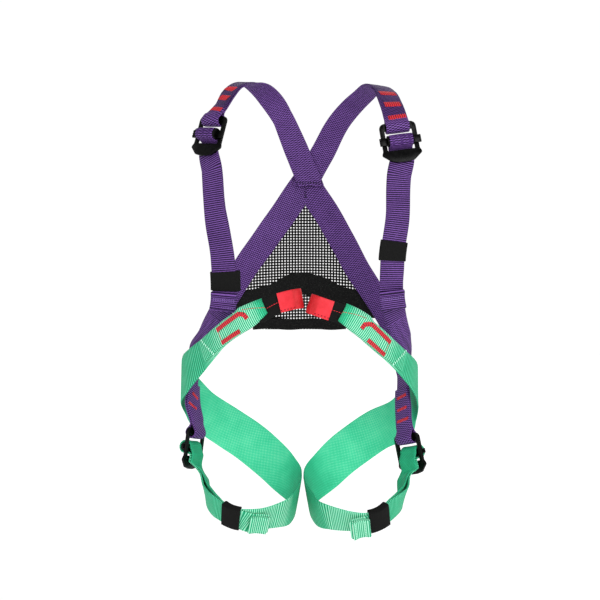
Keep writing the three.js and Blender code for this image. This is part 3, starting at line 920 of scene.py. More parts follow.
def make_piece(name: str, bm: BMesh, finish: Finish, sharp: float = 58.0) -> Object:
    """Turn a mesh into an object with its finish.

    Args:
        name: The piece's name.
        bm: Its mesh, which is used up.
        finish: Its material.
        sharp: Edges that turn by more than this, in degrees, stay crisp.

    Returns:
        The object, at the origin.
    """
    bmesh.ops.recalc_face_normals(bm, faces=bm.faces)
    for face in bm.faces:
        face.smooth = True
    mesh = bpy.data.meshes.new(name)
    bm.to_mesh(mesh)
    bm.free()
    mesh.set_sharp_from_angle(angle=math.radians(sharp))
    mesh.materials.append(finish.material())
    piece = bpy.data.objects.new(name, mesh)
    bpy.context.scene.collection.objects.link(piece)
    return piece


def add_wall(piece: Object, thick: float, edge: float = 0.0) -> None:
    """Give a thin piece its wall, and round its rims.

    Args:
        piece: The piece.
        thick: The wall's thickness in millimetres, half to either side.
        edge: Width of the rounding in millimetres, or 0 for none.
    """
    wall = piece.modifiers.new("wall", "SOLIDIFY")
    wall.thickness = thick * MM
    wall.offset = 0.0
    if edge:
        rim = piece.modifiers.new("edge", "BEVEL")
        rim.width = edge * MM
        rim.segments = 2
        rim.limit_method = "ANGLE"


def seat(piece: Object, slot: str, *nodes: str) -> Object:
    """Fix a piece to the harness and report it.

    Args:
        piece: The piece.
        slot: Not used.
        *nodes: CAD nodes that it stands for.

    Returns:
        The piece.
    """
    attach(piece, "root")
    if nodes:
        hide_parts(*nodes)
    LOG.info("%s: %d faces", piece.name, len(piece.data.polygons))
    return piece


def ribs(pitch: float, height: float, cup: float = 0.25) -> Relief:
    """Return a relief of cross ribs on a slightly cupped strap.

    Args:
        pitch: Rib spacing.
        height: Half the height of a rib.
        cup: How far the middle of the strap stands proud.

    Returns:
        The relief.
    """
    # Slow waves that a strap's edges wander by: millimetres, length to a radian, and start
    waves = ((0.22, 23.0, 0.0), (0.16, 7.7, 1.3))

    def relief(length: float, a: float, o: float) -> tuple[float, float]:
        """Ribs fade out at the selvages, and the strap's edges wander a little."""
        fade = max(0.0, 1 - abs(a) ** 8)
        wander = sum(size * math.sin(length / reach + start) for size, reach, start in waves)
        return wander, o * height * fade * math.cos(TURN * length / pitch) + cup * (1 - a * a)

    return relief


@dataclass(frozen=True)
class PaintedShadeBand:
    """A stretch of a strap with painted shade, as counts along it, with soft ends."""

    depth: float
    start: float
    fade_in: float
    end: float
    fade_out: float

    def at(self, count: float) -> float:
        """How much painted shade there is at a count."""
        return self.depth * clamp((count - self.start) / self.fade_in, (self.end - count) / self.fade_out)


@dataclass
class Tack:
    """A bar tack or stitch line: red zigzag sewn across a strap, as counts along and millimetres across."""

    points: Outline
    wide: float = 4.0
    high: float = 1.1
    strand: float = 2.3
    strand_rows: int = 6
    ragged: float = 0.22
    furrow: float = 0.2

    def add(self, bm: BMesh, route: Route, lift: float) -> None:
        """Lay the tack on a strap.

        Args:
            bm: The mesh to add it to.
            route: The strap's route.
            lift: Height of the strap's face over the route, negative on the other face.
        """
        dense = [self.points[0]]
        for ends in zip(self.points, self.points[1:]):
            dense += spots_between(ends, 4)[1:]
        line = [route.on_face(count, across, lift) for count, across in dense]
        places = [Place(at, out, self.wide, self.high) for at, out in line]

        def zigzag(length: float, a: float, o: float) -> tuple[float, float]:
            """Strands side by side, with uneven ends."""
            strand = math.cos(TURN * length / self.strand)
            return a * self.ragged * strand, self.furrow * max(o, 0) * strand

        sweep(bm, Route(places), round_section(12), self.strand / self.strand_rows, zigzag)


@dataclass(frozen=True)
class Stitch:
    """A kind of separate thread stitch, which lies along its line or across it."""

    pitch: float
    length: float
    radius: float
    cross: bool = False

    def sew(self, bm: BMesh, path: Line) -> None:
        """Lay stitches along a path on a surface.

        Args:
            bm: The mesh to add them to.
            path: Points on the surface, each with the way the surface looks.
        """
        route = Route([Place(at, out) for at, out in path])
        chart = layer(bm.loops.layers.uv, WEAVE_MAP)
        scale = Matrix.Diagonal((self.length / 2, self.radius, self.radius, 1))
        for count, _ in route.marks(self.pitch):
            frame = route.frame(count)
            first, second = (frame.across, -frame.along) if self.cross else (frame.along, frame.across)
            turn = Matrix((first, second, frame.out)).transposed().to_4x4()
            where = Matrix.Scale(MM, 4) @ Matrix.Translation(frame.at) @ turn @ scale
            made = bmesh.ops.create_uvsphere(bm, u_segments=6, v_segments=4, radius=1.0, matrix=where)["verts"]
            for face in {f for v in made for f in v.link_faces}:
                for loop in face.loops:
                    loop[chart].uv = (0.0, 0.0)


@dataclass
class Buckle:
    """A steel adjusting buckle with a sliding bar, in its own frame: X across, Z up the strap, -Y outward."""

    name: str
    at: Point
    yaw: float
    lean: float
    roll: float
    thick: float = 3.0
    top: float = 22.0
    bottom: float = -22.0
    half: float = 19.5
    plate_half: float = 21.0
    plate_top: float = -7.8
    window_half: float = 14.6
    window_top: float = 14.0
    bar_z: float = 1.5
    bar_y: float = -4.2
    bar_radius: float = 4.0
    cheek_radius: float = 6.0
    tab_half: float = 22.0
    tab_height: float = 8.4
    tab_thick: float = 2.2
    slack: float = GAP
    # The blunt point, the flared shelf over it, and how far the plate tilts outward below the window
    toe_half: float = 12.0
    toe_rise: float = 1.5
    tip_half: float = 4.0
    shelf_half: float = 11.0
    corner_rise: float = 0.5
    flare_drop: float = 5.7
    flare_high: float = 2.0
    tilt: float = 0.16
    head_round: float = 5.5
    rim_round: float = 0.55
    # Heights of the tab's ridges as shares of the tab, and the depth and height of each
    ridges: tuple[float, ...] = (-0.31, 0.0, 0.31)
    ridge: tuple[float, float] = (0.7, 1.2)
    crisp: float = 32.0

    @property
    def matrix(self) -> Matrix:
        """Where the buckle sits, in millimetres."""
        yaw, lean, roll = (Matrix.Rotation(math.radians(angle), 4, axis)
                           for angle, axis in ((self.yaw, "Z"), (-self.lean, "X"), (self.roll, "Y")))
        return Matrix.Translation(Vector(self.at)) @ yaw @ lean @ roll

    def place(self, y: float, z: float, angle: float) -> Place:
        """Return a strap's place in the buckle.

        Args:
            y: Depth.
            z: Height.
            angle: The way the strap's face looks, from straight ahead towards up, in radians.

        Returns:
            The place.
        """
        face = self.matrix.to_3x3() @ Vector((0, -math.cos(angle), math.sin(angle)))
        return Place(self.matrix @ Vector((0, y, z)), face)

    def wrap(self, y: float, z: float, radius: float, start: float, end: float, steps: int) -> list[Place]:
        """Return places on a turn of webbing round a bar.

        Args:
            y: The bar's depth.
            z: The bar's height.
            radius: From the bar's axis to the middle of the webbing.
            start: First angle in degrees, from straight ahead towards up.
            end: Last angle.
            steps: Steps between them.

        Returns:
            The places.
        """
        made = []
        for i in range(steps + 1):
            angle = math.radians(start + (end - start) * i / steps)
            made.append(self.place(y - radius * math.cos(angle), z + radius * math.sin(angle), angle))
        return made

    def sewn_turn(self) -> list[Place]:
        """The sewn loop's way: in where its layers are pinched together, then round the top bar."""
        height = (self.top + self.window_top) / 2 - 0.6
        return [self.place(-LAYER / 2, height + PINCH, 0.15), *self.wrap(0, height, TOP_BAR_ROLL, 25, -205, 12)]

    def sliding_turn(self) -> list[Place]:
        """The adjusting strap's way: up behind the plate, over the bar and down behind the plate.

        Returns:
            Places along it.
        """
        outer = self.thick / 2 + GAP + WEB_THICK / 2 + 0.1
        inner = outer + LAYER + 0.3
        low = self.bottom + 6
        rise = [self.place(inner, low, math.pi), self.place(inner, self.plate_top + 2, math.pi)]
        turn = self.wrap(self.bar_y, self.bar_z, self.bar_radius + self.slack + WEB_THICK / 2, 180, -60, 14)
        fall = [
            self.place(outer - 0.4, self.plate_top + WEB_THICK, -0.5),
            self.place(outer, self.plate_top - 2, 0),
            self.place(outer, low, 0),
        ]
        return rise + turn + fall

    def build_frame(self) -> Object:
        """Stamp the frame: a plate with a window, its lower part wider and blunt-pointed.

        Returns:
            The piece.
        """
        bm = bmesh.new()
        made = bmesh.ops.create_grid(bm, x_segments=3, y_segments=5, size=0.5)["verts"]

        def row(outer: float, inner: float, z: float, rise: float = 0.0) -> Outline:
            """Four points of the plate at one height, with the outer ones raised."""
            return (-outer, z + rise), (-inner, z), (inner, z), (outer, z + rise)

        flare = self.plate_top - self.flare_drop
        shelf = [
            row(self.toe_half, self.tip_half, self.bottom, self.toe_rise),
            *(row(self.plate_half, self.shelf_half, z, self.corner_rise) for z in (flare, flare + self.flare_high)),
            *(row(self.half, self.window_half, z) for z in (self.plate_top, self.window_top, self.top)),
        ]
        grid = {(round((v.co.x + 0.5) * 3), round((v.co.y + 0.5) * 5)): v for v in made}
        for (i, k), v in grid.items():
            x, z = shelf[k][i]
            v.co = Vector((x, -self.tilt * max(0.0, self.plate_top - z), z))
        window = [f for f in bm.faces if {grid[1, 3], grid[2, 4]} <= set(f.verts)]
        bmesh.ops.delete(bm, geom=window, context="FACES")
        front = bm.faces[:]
        bmesh.ops.recalc_face_normals(bm, faces=front)
        raised = bmesh.ops.extrude_face_region(bm, geom=front)["geom"]
        backs = [g for g in raised if isinstance(g, BMVert)]
        bmesh.ops.translate(bm, verts=backs, vec=(0, self.thick, 0))
        bmesh.ops.recalc_face_normals(bm, faces=bm.faces)
        bmesh.ops.translate(bm, verts=bm.verts, vec=(0, -self.thick / 2, 0))
        heads = [e for e in bm.edges if all(abs(v.co.z - self.top) < 0.01 for v in e.verts)
                 and abs(e.verts[0].co.x - e.verts[1].co.x) < 0.01 and abs(e.verts[0].co.x) > self.window_half + 1]
        round_edges(bm, heads, self.head_round, 5)
        rims = [e for e in bm.edges if len(e.link_faces) == 2 and e.calc_face_angle(0) > math.radians(24)]
        round_edges(bm, rims, self.rim_round)
        bmesh.ops.transform(bm, matrix=Matrix.Scale(MM, 4) @ self.matrix, verts=bm.verts)
        return seat(make_piece(f"{self.name}_frame", bm, BLACK_STEEL, self.crisp), "black_steel", self.name)

    def build_bar(self) -> Object:
        """Turn the sliding bar, with a ridged tab at each end that rides on the side rails, and any cheeks.

        Returns:
            The piece.
        """
        bm = bmesh.new()
        arm_inner, arm_outer = WEB_WIDTH / 2 + GAP, self.window_half - GAP
        rail_front = -self.thick / 2 - GAP
        tab_front = rail_front - self.tab_thick
        rounds = [(self.bar_radius, 2 * arm_outer, 0.0)]
        blocks = []
        for side in (-1, 1):
            if self.cheek_radius:
                rounds.append((self.cheek_radius, arm_outer - arm_inner, side * (arm_outer + arm_inner) / 2))
            blocks.append((self.tab_half - arm_inner, rail_front - tab_front, self.tab_height,
                           side * (self.tab_half + arm_inner) / 2, (rail_front + tab_front) / 2, self.bar_z))
            for share in self.ridges:
                blocks.append((self.tab_half - self.half - 0.6, *self.ridge,
                               side * (self.tab_half + self.half) / 2, tab_front - 0.2,
                               self.bar_z + share * self.tab_height))
        for radius, depth, x in rounds:
            where = Matrix.Translation((x, self.bar_y, self.bar_z)) @ Matrix.Rotation(math.pi / 2, 4, "Y")
            disc = bmesh.ops.create_cone(bm, cap_ends=True, segments=32, radius1=radius, radius2=radius,
                                         depth=depth, matrix=where)["verts"]
            rims = [e for e in {e for v in disc for e in v.link_edges} if e.calc_face_angle(0) > 1]
            round_edges(bm, rims, 0.35)
        for wide, deep, high, x, y, z in blocks:
            size = Matrix.Translation((x, y, z)) @ Matrix.Diagonal((wide, deep, high, 1))
            box = bmesh.ops.create_cube(bm, size=1.0, matrix=size)["verts"]
            edges = list({e for v in box for e in v.link_edges})
            round_edges(bm, edges, min(0.5, min(wide, deep, high) * 0.3))
        bmesh.ops.transform(bm, matrix=Matrix.Scale(MM, 4) @ self.matrix, verts=bm.verts)
        slider = make_piece(f"{self.name}_slider", bm, BLACK_STEEL, self.crisp)
        return seat(slider, "black_steel", f"{self.name}_bar")

    def build(self) -> None:
        """Make the frame and the bar."""
        self.build_frame()
        self.build_bar()


# The leg buckles are plainer: no cheeks, smaller tabs, and webbing that lies looser on the bar
PLAIN_BAR = {"cheek_radius": 0.0, "tab_half": 20.6, "tab_height": 5.2, "slack": 1.5}
BUCKLES: dict[str, Buckle] = {
    buckle.name: buckle for buckle in (
        Buckle("shoulder_buckle_left", (-98.8, -64, -60), yaw=-42, lean=16, roll=4),
        Buckle("shoulder_buckle_right", (100.2, -69, -67), yaw=6, lean=14, roll=-8),
        Buckle("leg_buckle_left", (-118.6, -8, -391), yaw=-115, lean=4, roll=-7, **PLAIN_BAR),
        Buckle("leg_buckle_right", (114, -8, -397), yaw=130, lean=6, roll=10, **PLAIN_BAR),
    )
}


def sewn_route(rows: Iterable[Row], buckle: Buckle, sewn_to: float) -> tuple[Route, Route]:
    """Run a strap round a buckle's top bar and back up inside itself.

    Args:
        rows: The strap's table.
        buckle: The buckle.
        sewn_to: Count where the inner end stops.

    Returns:
        The whole strap's route, and the route of its outer run alone.
    """
    main = [from_row(row) for row in rows]
    outer = Route(main + buckle.sewn_turn())
    inner = [place.turned() for place in outer.beside(len(main) - LOOP_MOUTH, sewn_to, -LAYER, 6.0)]
    return Route(outer.places + inner), outer


@dataclass
class SewnStrap:
    """Purple webbing that starts at the crossing on the back and is sewn in a loop round a buckle's top bar."""

    side: Side
    tacks: tuple[Tack, ...]

    def weave(self, route: Route, cut_at: Point, cut_way: Point, shade: Along | None = None) -> BMesh:
        """Weave the strap and cut it at the crossing.

        Args:
            route: The whole strap's route.
            cut_at: A point of the cut, in metres.
            cut_way: The way to what is cut off.
            shade: Painted shade, from count along.

        Returns:
            The strap's mesh.
        """
        bm = bmesh.new()
        sweep(bm, route, flat_section(), ROW_STEP, ribs(PURPLE_RIBBED.rib_mm, 0.0), shade=shade)
        cut_off(bm, cut_at, cut_way)
        close_ends(bm)
        return bm

    def sew(self, outer: Route, *lifts: float) -> BMesh:
        """Lay every tack on the strap.

        Args:
            outer: The route of its outer run.
            *lifts: Heights of its faces over the route, negative on the other face.

        Returns:
            The tacks' mesh.
        """
        red = bmesh.new()
        for tack in self.tacks:
            for lift in lifts:
                tack.add(red, outer, lift)
        return red


@dataclass
class ShoulderStrap(SewnStrap):
    """Purple webbing from the crossing on the back over the shoulder, looped round the shoulder buckle."""

    sewn_to: float = 5.7
    # Painted shade in front of the shoulder, where the strap lies double
    painted_shade: PaintedShadeBand = PaintedShadeBand(0.22, start=4.6, fade_in=0.8, end=8.1, fade_out=0.4)

    def build(self) -> None:
        """Weave the strap, cut it at the crossing and sew its loop with red tacks."""
        name = self.side.value
        route, outer = sewn_route(SHOULDER[self.side], BUCKLES[f"shoulder_buckle_{name}"], self.sewn_to)
        bm = self.weave(route, (0, 0, CROSSING_END * MM), (0, 0, -1), self.painted_shade.at)
        seat(make_piece(f"shoulder_webbing_{name}", bm, PURPLE_RIBBED), "purple_webbing", f"shoulder_strap_{name}")
        red = self.sew(outer, WEB_THICK / 2 + TACK_RISE)
        seat(make_piece(f"shoulder_tacks_{name}", red, RED_THREAD), "red_sleeve")


@dataclass
class BackStrap(SewnStrap):
    """Purple webbing from the crossing down to the hip, and on as the tab that carries the leg buckle."""

    sewn_to: float = 6.45

    def build(self) -> None:
        """Weave the strap, mitre it at the crossing and sew its loop with red tacks, which show on both faces."""
        name = self.side.value
        route, outer = sewn_route(BACK_STRAP[self.side], BUCKLES[f"leg_buckle_{name}"], self.sewn_to)
        bm = self.weave(route, (MITRE_X * MM, 0, 0), (-self.side.sign, 0, 0))
        seat(make_piece(f"back_webbing_{name}", bm, PURPLE_RIBBED), "purple_webbing", f"back_strap_{name}")
        red = self.sew(outer, -LAYER - WEB_THICK / 2, WEB_THICK / 2 + TACK_RISE)
        seat(make_piece(f"hip_tab_tacks_{name}", red, RED_THREAD), "red_sleeve")


@dataclass
class CrossingStitches:
    """Dark stitches where the straps are sewn together on the back: a row of ticks and a short ladder."""

    row: Stitch = Stitch(3.2, 3.6, 0.6, cross=True)
    row_at: float = 0.7
    row_half: float = 12.5
    row_rise: float = 0.3
    # Counts per millimetre across that keep the row level on the slanting strap
    row_slant: float = 0.032
    ladder: Stitch = Stitch(2.6, 4.6, 0.5, cross=True)
    ladder_top: Point = (MITRE_X, 81.6, -106.5)
    ladder_low: Point = (MITRE_X, 81.0, -115.5)

    def build(self) -> None:
        """Sew the row on the front strap's wearer side and the ladder on the joint under it."""
        front = Route.of(SHOULDER[Side.LEFT])
        lift = -WEB_THICK / 2 - self.row_rise
        spots = [self.row_half * (i / 4 - 1) for i in range(9)]
        row = [front.on_face(self.row_at - self.row_slant * u, u, lift) for u in spots]
        top, low = Vector(self.ladder_top), Vector(self.ladder_low)
        ladder = [(top.lerp(low, i / 3), Vector((0, -1, 0))) for i in range(4)]
        bm = bmesh.new()
        self.row.sew(bm, row)
        self.ladder.sew(bm, ladder)
        seat(make_piece("crossing_stitches", bm, DARK_THREAD), "purple_webbing")


@dataclass
class TailFold:
    """A strap's end that is folded twice and sewn, as counts on the strap that it lies on."""

    upper: float
    lower: float
    skew: float
    curl: float = 2.4
    bow: float = 0.0
    bow_from: float = 0.0
    gape: float = 0.5
    wide: float = WEB_WIDTH
    stiff: float = 0.85
    drift: float = 0.5
    free_end: float = 0.04
    thread_rise: float = 0.2

    def share(self, count: float) -> float:
        """How far down the fold a count lies: 0 at the upper lip, 1 at the lower."""
        return clamp((self.upper - count) / (self.upper - self.lower))

    def lift(self, count: float, rank: int, last: float) -> float:
        """Return a layer's height: pressed flat at the stitches, open at both lips, with the free end curled up.

        Args:
            count: Where along the strap.
            rank: 0 for the tail itself, then 1 and 2 for the layers folded on it.
            last: Count where the tail leaves the buckle.

        Returns:
            Millimetres over the strap's middle line.
        """
        share = self.share(count)
        gape = self.gape * (2 * share - 1) ** 2
        bowed = 0.0
        if self.bow and count > self.bow_from:
            bowed = self.bow * math.sin(math.pi * (count - self.bow_from) / (last - self.bow_from)) ** 2
        return LAYER + bowed + rank * (FOLD_LAYER + gape) + self.curl * share * share

    def frame(self, rising: Route, count: float) -> Frame:
        """Return the axes that the tail follows: the strap's own, and in the stiff fold nearly straight on.

        Args:
            rising: The strap's route with its inner face up.
            count: Where along the strap.

        Returns:
            The frame there.
        """
        here = rising.frame(count)
        if count >= self.upper:
            return here
        top = rising.frame(self.upper)
        straight = top.at - top.along * (here.at - top.at).length
        mixed = [a.lerp(b, self.stiff) for a, b in ((here.at, straight), (here.along, top.along),
                                                    (here.across, top.across), (here.out, top.out))]
        return Frame(mixed[0], *(axis.normalized() for axis in mixed[1:]), here.wide, here.thick)

    def aside(self, count: float) -> float:
        """How far the tail has drifted to one side."""
        return self.skew * clamp((self.upper + self.drift - count) / self.drift)

    def layer(self, rising: Route, first: float, last: float, rank: int, leaves: float) -> list[Place]:
        """Return places along one layer.

        Args:
            rising: The strap's route with its inner face up.
            first: Its first count.
            last: Its last count.
            rank: Which layer.
            leaves: Count where the tail leaves the buckle.

        Returns:
            The places.
        """
        sense = 1 if rank == 1 else -1
        parts = max(4, round((rising.point(last) - rising.point(first)).length / 5.0))
        made = []
        for i in range(parts + 1):
            count = first + (last - first) * i / parts
            frame = self.frame(rising, count)
            at = frame.at - frame.out * self.lift(count, rank, leaves) + frame.across * self.aside(count)
            made.append(Place(at, frame.out * sense, self.wide if rank else WEB_WIDTH))
        return made

    def lip(self, rising: Route, count: float, rank: int, leaves: float) -> list[Place]:
        """Return the half turn from one layer to the next.

        Args:
            rising: The strap's route with its inner face up.
            count: Where along the strap.
            rank: The layer that it starts from.
            leaves: Count where the tail leaves the buckle.

        Returns:
            The places.
        """
        frame = self.frame(rising, count)
        sense = -1 if rank == 0 else 1
        low, high = self.lift(count, rank, leaves), self.lift(count, rank + 1, leaves)
        centre = frame.at - frame.out * (low + high) / 2 + frame.across * self.aside(count)
        made = []
        for i in range(1, 6):
            angle = math.pi * i / 6
            at = centre + (frame.out * math.cos(angle) + frame.along * sense * math.sin(angle)) * (high - low) / 2
            face = frame.along * math.sin(angle) + frame.out * sense * math.cos(angle)
            made.append(Place(at, face, self.wide))
        return made

    def places(self, rising: Route, leaves: float) -> list[Place]:
        """Lead the tail down its strap's outer face and fold its end.

        Args:
            rising: The strap's route with its inner face up.
            leaves: Count where the tail leaves the buckle.

        Returns:
            The tail's places.
        """
        made = self.layer(rising, leaves, self.upper, 0, leaves)[:-1]
        made += self.layer(rising, self.upper, self.lower, 0, leaves)
        made += self.lip(rising, self.lower, 0, leaves)
        made += self.layer(rising, self.lower, self.upper, 1, leaves)
        made += self.lip(rising, self.upper, 1, leaves)
        end = self.lower + (self.upper - self.lower) * self.free_end
        made += self.layer(rising, self.upper, end, 2, leaves)
        return made

    def seams(self, rising: Route, shares: Sequence[float], reach: float) -> list[Line]:
        """Return lines across the fold's outer face, for its stitches.

        Args:
            rising: The strap's route with its inner face up.
            shares: Where each line lies, from the upper lip to the lower.
            reach: Half the length of a line.

        Returns:
            Points and directions along each line.
        """
        lines = []
        for share in shares:
            count = self.upper + (self.lower - self.upper) * share
            high = self.lift(count, 2, self.upper) + WEB_THICK / 2 + self.thread_rise
            frame = self.frame(rising, count)
            spots = [self.skew + reach * (i / 4 - 1) for i in range(9)]
            lines.append([(frame.at + frame.across * u - frame.out * high, -frame.out) for u in spots])
        return lines


def adjusted_route(main: list[Place], buckle: Buckle, fold: TailFold) -> tuple[Route, Route]:
    """Run a strap up to a buckle, round its bar and back as a tail.

    Args:
        main: The strap's places up to the buckle, outer face up.
        buckle: The buckle.
        fold: The tail's folded end.

    Returns:
        The whole strap's route, and the route of its rising run.
    """
    turn = buckle.sliding_turn()
    rising = Route([place.turned() for place in main] + turn[:2])
    return Route(rising.places + turn[2:] + fold.places(rising, len(main) - 1)), rising


@dataclass
class ChestStrap:
    """Purple ribbed webbing from the hip up to the shoulder buckle, round its bar, with a folded tail."""

    side: Side
    fold: TailFold
    plain_to: float = 2.6
    # Places of the roll round the bar, counted from the strap's end, and how much of the ribs is left there
    roll: tuple[int, int] = (2, 16)
    roll_ribs: float = 0.5
    rib_height: float = 0.13
    seams: tuple[float, ...] = (0.3, 0.42, 0.8)
    seam_half: float = 10.5
    stitch: Stitch = Stitch(2.4, 2.0, 0.3)

    def build(self) -> None:
        """Weave the strap with its tail, and stitch the fold."""
        name = self.side.value
        main = Route.of(CHEST[self.side]).places
        route, rising = adjusted_route(main, BUCKLES[f"shoulder_buckle_{name}"], self.fold)
        roll_from, roll_to = (len(main) + places for places in self.roll)
        pitch = PURPLE_RIBBED.rib_mm

        def ribbed(count: float, _o: float) -> float:
            """Plain low on the hip, ribbed above, and pulled smoother where it rolls round the bar."""
            if count < self.plain_to:
                return 0.0
            return self.roll_ribs if roll_from < count < roll_to else 1.0

        bm = bmesh.new()
        sweep(bm, route, flat_section(), pitch / RIB_ROWS, ribs(pitch, self.rib_height), ribbed)
        seat(make_piece(f"chest_webbing_{name}", bm, PURPLE_RIBBED), "purple_webbing", f"chest_strap_{name}")
        thread = bmesh.new()
        for line in self.fold.seams(rising, self.seams, self.seam_half):
            self.stitch.sew(thread, line)
        seat(make_piece(f"chest_fold_stitches_{name}", thread, PURPLE_THREAD), "purple_webbing")


@dataclass
class LegStrap:
    """Mint webbing from the belly over the hip, round the thigh and up to the leg buckle, with a folded tail."""

    side: Side
    fold: TailFold
    seam: Outline
    tacks: tuple[Tack, ...]
    line: Outline
    # The doubled front: how far its mouth gapes and sags, where its layers thin out, and where the cover ends
    mouth_rise: float = 3.0
    mouth_to: float = 1.4
    sag: float = 0.0
    under_sag: float = 0.6
    trims: tuple[float, ...] = (7.5, 4.0, 2.5, 1.5)
    taper: float = 6.0
    taper_to: float = 1.1
    slim: float = 2.2
    cover_end: float = 3.95
    cover_wide: float = 25.4
    cover_steps: int = 26
    rib_height: float = 0.11
    cup: float = -0.3
    # Ribs are drawn coarser between these counts of the strap, and from this step of the cover on
    turns: Outline = ((4.1, 7.0), (12.4, 14.2))
    turned: float = 0.62
    coarse_from: float = 16.0
    coarse: float = 0.75
    # Painted shade round the hip, at the inner thigh, and from the keeper up into the buckle and down the tail to
    # the keeper
    hip: PaintedShadeBand = PaintedShadeBand(0.3, start=3.5, fade_in=0.6, end=7.2, fade_out=0.8)
    thigh: PaintedShadeBand = PaintedShadeBand(0.34, start=10.9, fade_in=1.3, end=13.5, fade_out=0.5)
    rise: PaintedShadeBand = PaintedShadeBand(0.26, start=17.0, fade_in=1.2, end=57.0, fade_out=4.0)
    line_stitch: Stitch = Stitch(2.6, 2.1, 0.35)
    line_rise: float = 0.15
    seam_stitch: Stitch = Stitch(3.4, 3.2, 0.5, cross=True)
    seam_lift: float = 2.6
    fold_stitch: Stitch = Stitch(2.4, 1.9, 0.3)
    fold_seams: tuple[float, ...] = (0.22, 0.8)
    fold_seam_half: float = 9.5

    @property
    def solid(self) -> Route:
        """The strap's middle line with both layers of its front."""
        return Route.of(LEG[self.side])

    def under_layer(self) -> list[Place]:
        """Lay out the strap's own layer, which lies at the back of the doubled front.

        Returns:
            Its places.
        """
        made = []
        solid = self.solid
        for i, place in enumerate(solid.places):
            sink = (place.thick - WEB_THICK) / 2
            trim = self.trims[i] if i < len(self.trims) else 0.0
            rise = trim / 2 - (self.sag * self.under_sag if i == 0 else 0.0)
            up = solid.frame(i).across * (self.side.sign * rise)
            made.append(Place(place.at - place.face * sink + up, place.face, place.wide - trim))
        return made

    def edge_shift(self, count: float, a: float) -> float:
        """Return how far a point of the front layer moves up: it gapes over the tape and is cut away below it.

        Args:
            count: Where along the strap.
            a: Place across, in half widths.

        Returns:
            Millimetres across the strap.
        """
        rise = self.mouth_rise * clamp((self.mouth_to - count) / 0.3) * (0.3 + 0.5 * min(count, self.mouth_to))
        cut = self.slim + self.taper * max(0.0, 1 - count / self.taper_to) ** 1.5
        upper = self.side.sign * a
        drop = self.sag * max(0.0, 1 - count) * (0.6 - 0.4 * upper)
        return self.side.sign * (rise * max(0.0, upper) + cut * max(0.0, -upper) - drop)

    def cover_layer(self) -> Route:
        """Lay out the front layer, sewn down at the cross seam.

        Returns:
            Its route.
        """
        solid = self.solid
        made = []
        for i in range(self.cover_steps + 1):
            frame = solid.frame(self.cover_end * i / self.cover_steps)
            lift = max(0.0, frame.thick / 2 - WEB_THICK / 2)
            made.append(Place(frame.at + frame.out * lift, frame.out, min(frame.wide, self.cover_wide)))
        return Route(made)

    def build(self) -> None:
        """Weave both layers and the tail, then sew seams, tacks and fold."""
        name = self.side.value
        main = self.under_layer()
        route, rising = adjusted_route(main, BUCKLES[f"leg_buckle_{name}"], self.fold)
        pitch = GREEN_RIBBED.rib_mm
        inner_face_ends = len(main) + 9.0

        def ribbed(count: float, o: float) -> float:
            """Ribs on the outer face and on the tail, dots on the side that lies on the thigh."""
            return 1.0 if o < 0 or count > inner_face_ends else 0.0

        def relief(length: float, a: float, o: float) -> tuple[float, float]:
            """Ribs on the outer face alone."""
            return ribs(pitch, self.rib_height if o < 0 else 0.0, self.cup)(length, a, o)

        def pace(count: float) -> float:
            """Ribs are drawn coarser where the strap turns away round the hip and the inner thigh."""
            return self.turned if any(start < count < end for start, end in self.turns) else 1.0

        def shade(count: float) -> float:
            """Painted shade round the hip, at the inner thigh, up into the buckle and down to the keeper."""
            return max(band.at(count) for band in (self.hip, self.thigh, self.rise))

        bm = bmesh.new()
        sweep(bm, route, flat_section(8), pitch / RIB_ROWS, relief, ribbed, pace=pace, shade=shade)
        seat(make_piece(f"leg_webbing_{name}", bm, GREEN_RIBBED), "green_webbing", f"leg_strap_{name}")
        self.build_cover(name, pitch)
        self.build_seams(name, rising)

    def build_cover(self, name: str, pitch: float) -> None:
        """Weave the front layer, curled down to the layer under it along both edges.

        Args:
            name: The side's name.
            pitch: Rib spacing.
        """
        solid, cover = self.solid, self.cover_layer()
        depth = [max(0.0, solid.frame(c * self.cover_end / cover.last).thick - 2 * WEB_THICK)
                 for c in range(cover.last + 1)]
        marks = cover.marks(pitch / RIB_ROWS)
        turn = next(length for count, length in marks if count > self.coarse_from)
        ribbing = ribs(pitch, self.rib_height, 0.0)

        def curl(length: float, a: float, o: float) -> tuple[float, float]:
            """Bring the edges down to the layer below.

            Args:
                length: Pattern millimetres along the cover.
                a: Place across, in half widths.
                o: Place through, in half thicknesses.

            Returns:
                Extra millimetres across and outward.
            """
            real = min(length, turn) + max(0.0, length - turn) / self.coarse
            share = real / marks[-1][1] * cover.last
            i = min(int(share), cover.last - 1)
            here = depth[i] + (depth[i + 1] - depth[i]) * (share - i)
            aside, up = ribbing(length, a, o)
            return aside + self.edge_shift(share * self.cover_end / cover.last, a), up - here * abs(a) ** 5

        def ribbed(count: float, _o: float) -> float:
            """Ribs, which start gradually at the mouth."""
            return min(1.0, count / 4)

        def pace(count: float) -> float:
            """Ribs are drawn coarser towards the hip."""
            return self.coarse if count > self.coarse_from else 1.0

        def shade(count: float) -> float:
            """Painted shade at the mouth, and towards the cross seam."""
            return max(0.3 * clamp(1 - count / 6), 0.2 * clamp((count - 19) / 4))

        bm = bmesh.new()
        sweep(bm, cover, flat_section(14), pitch / RIB_ROWS, curl, ribbed, pace=pace, shade=shade)
        seat(make_piece(f"leg_cover_{name}", bm, GREEN_RIBBED), "green_webbing")

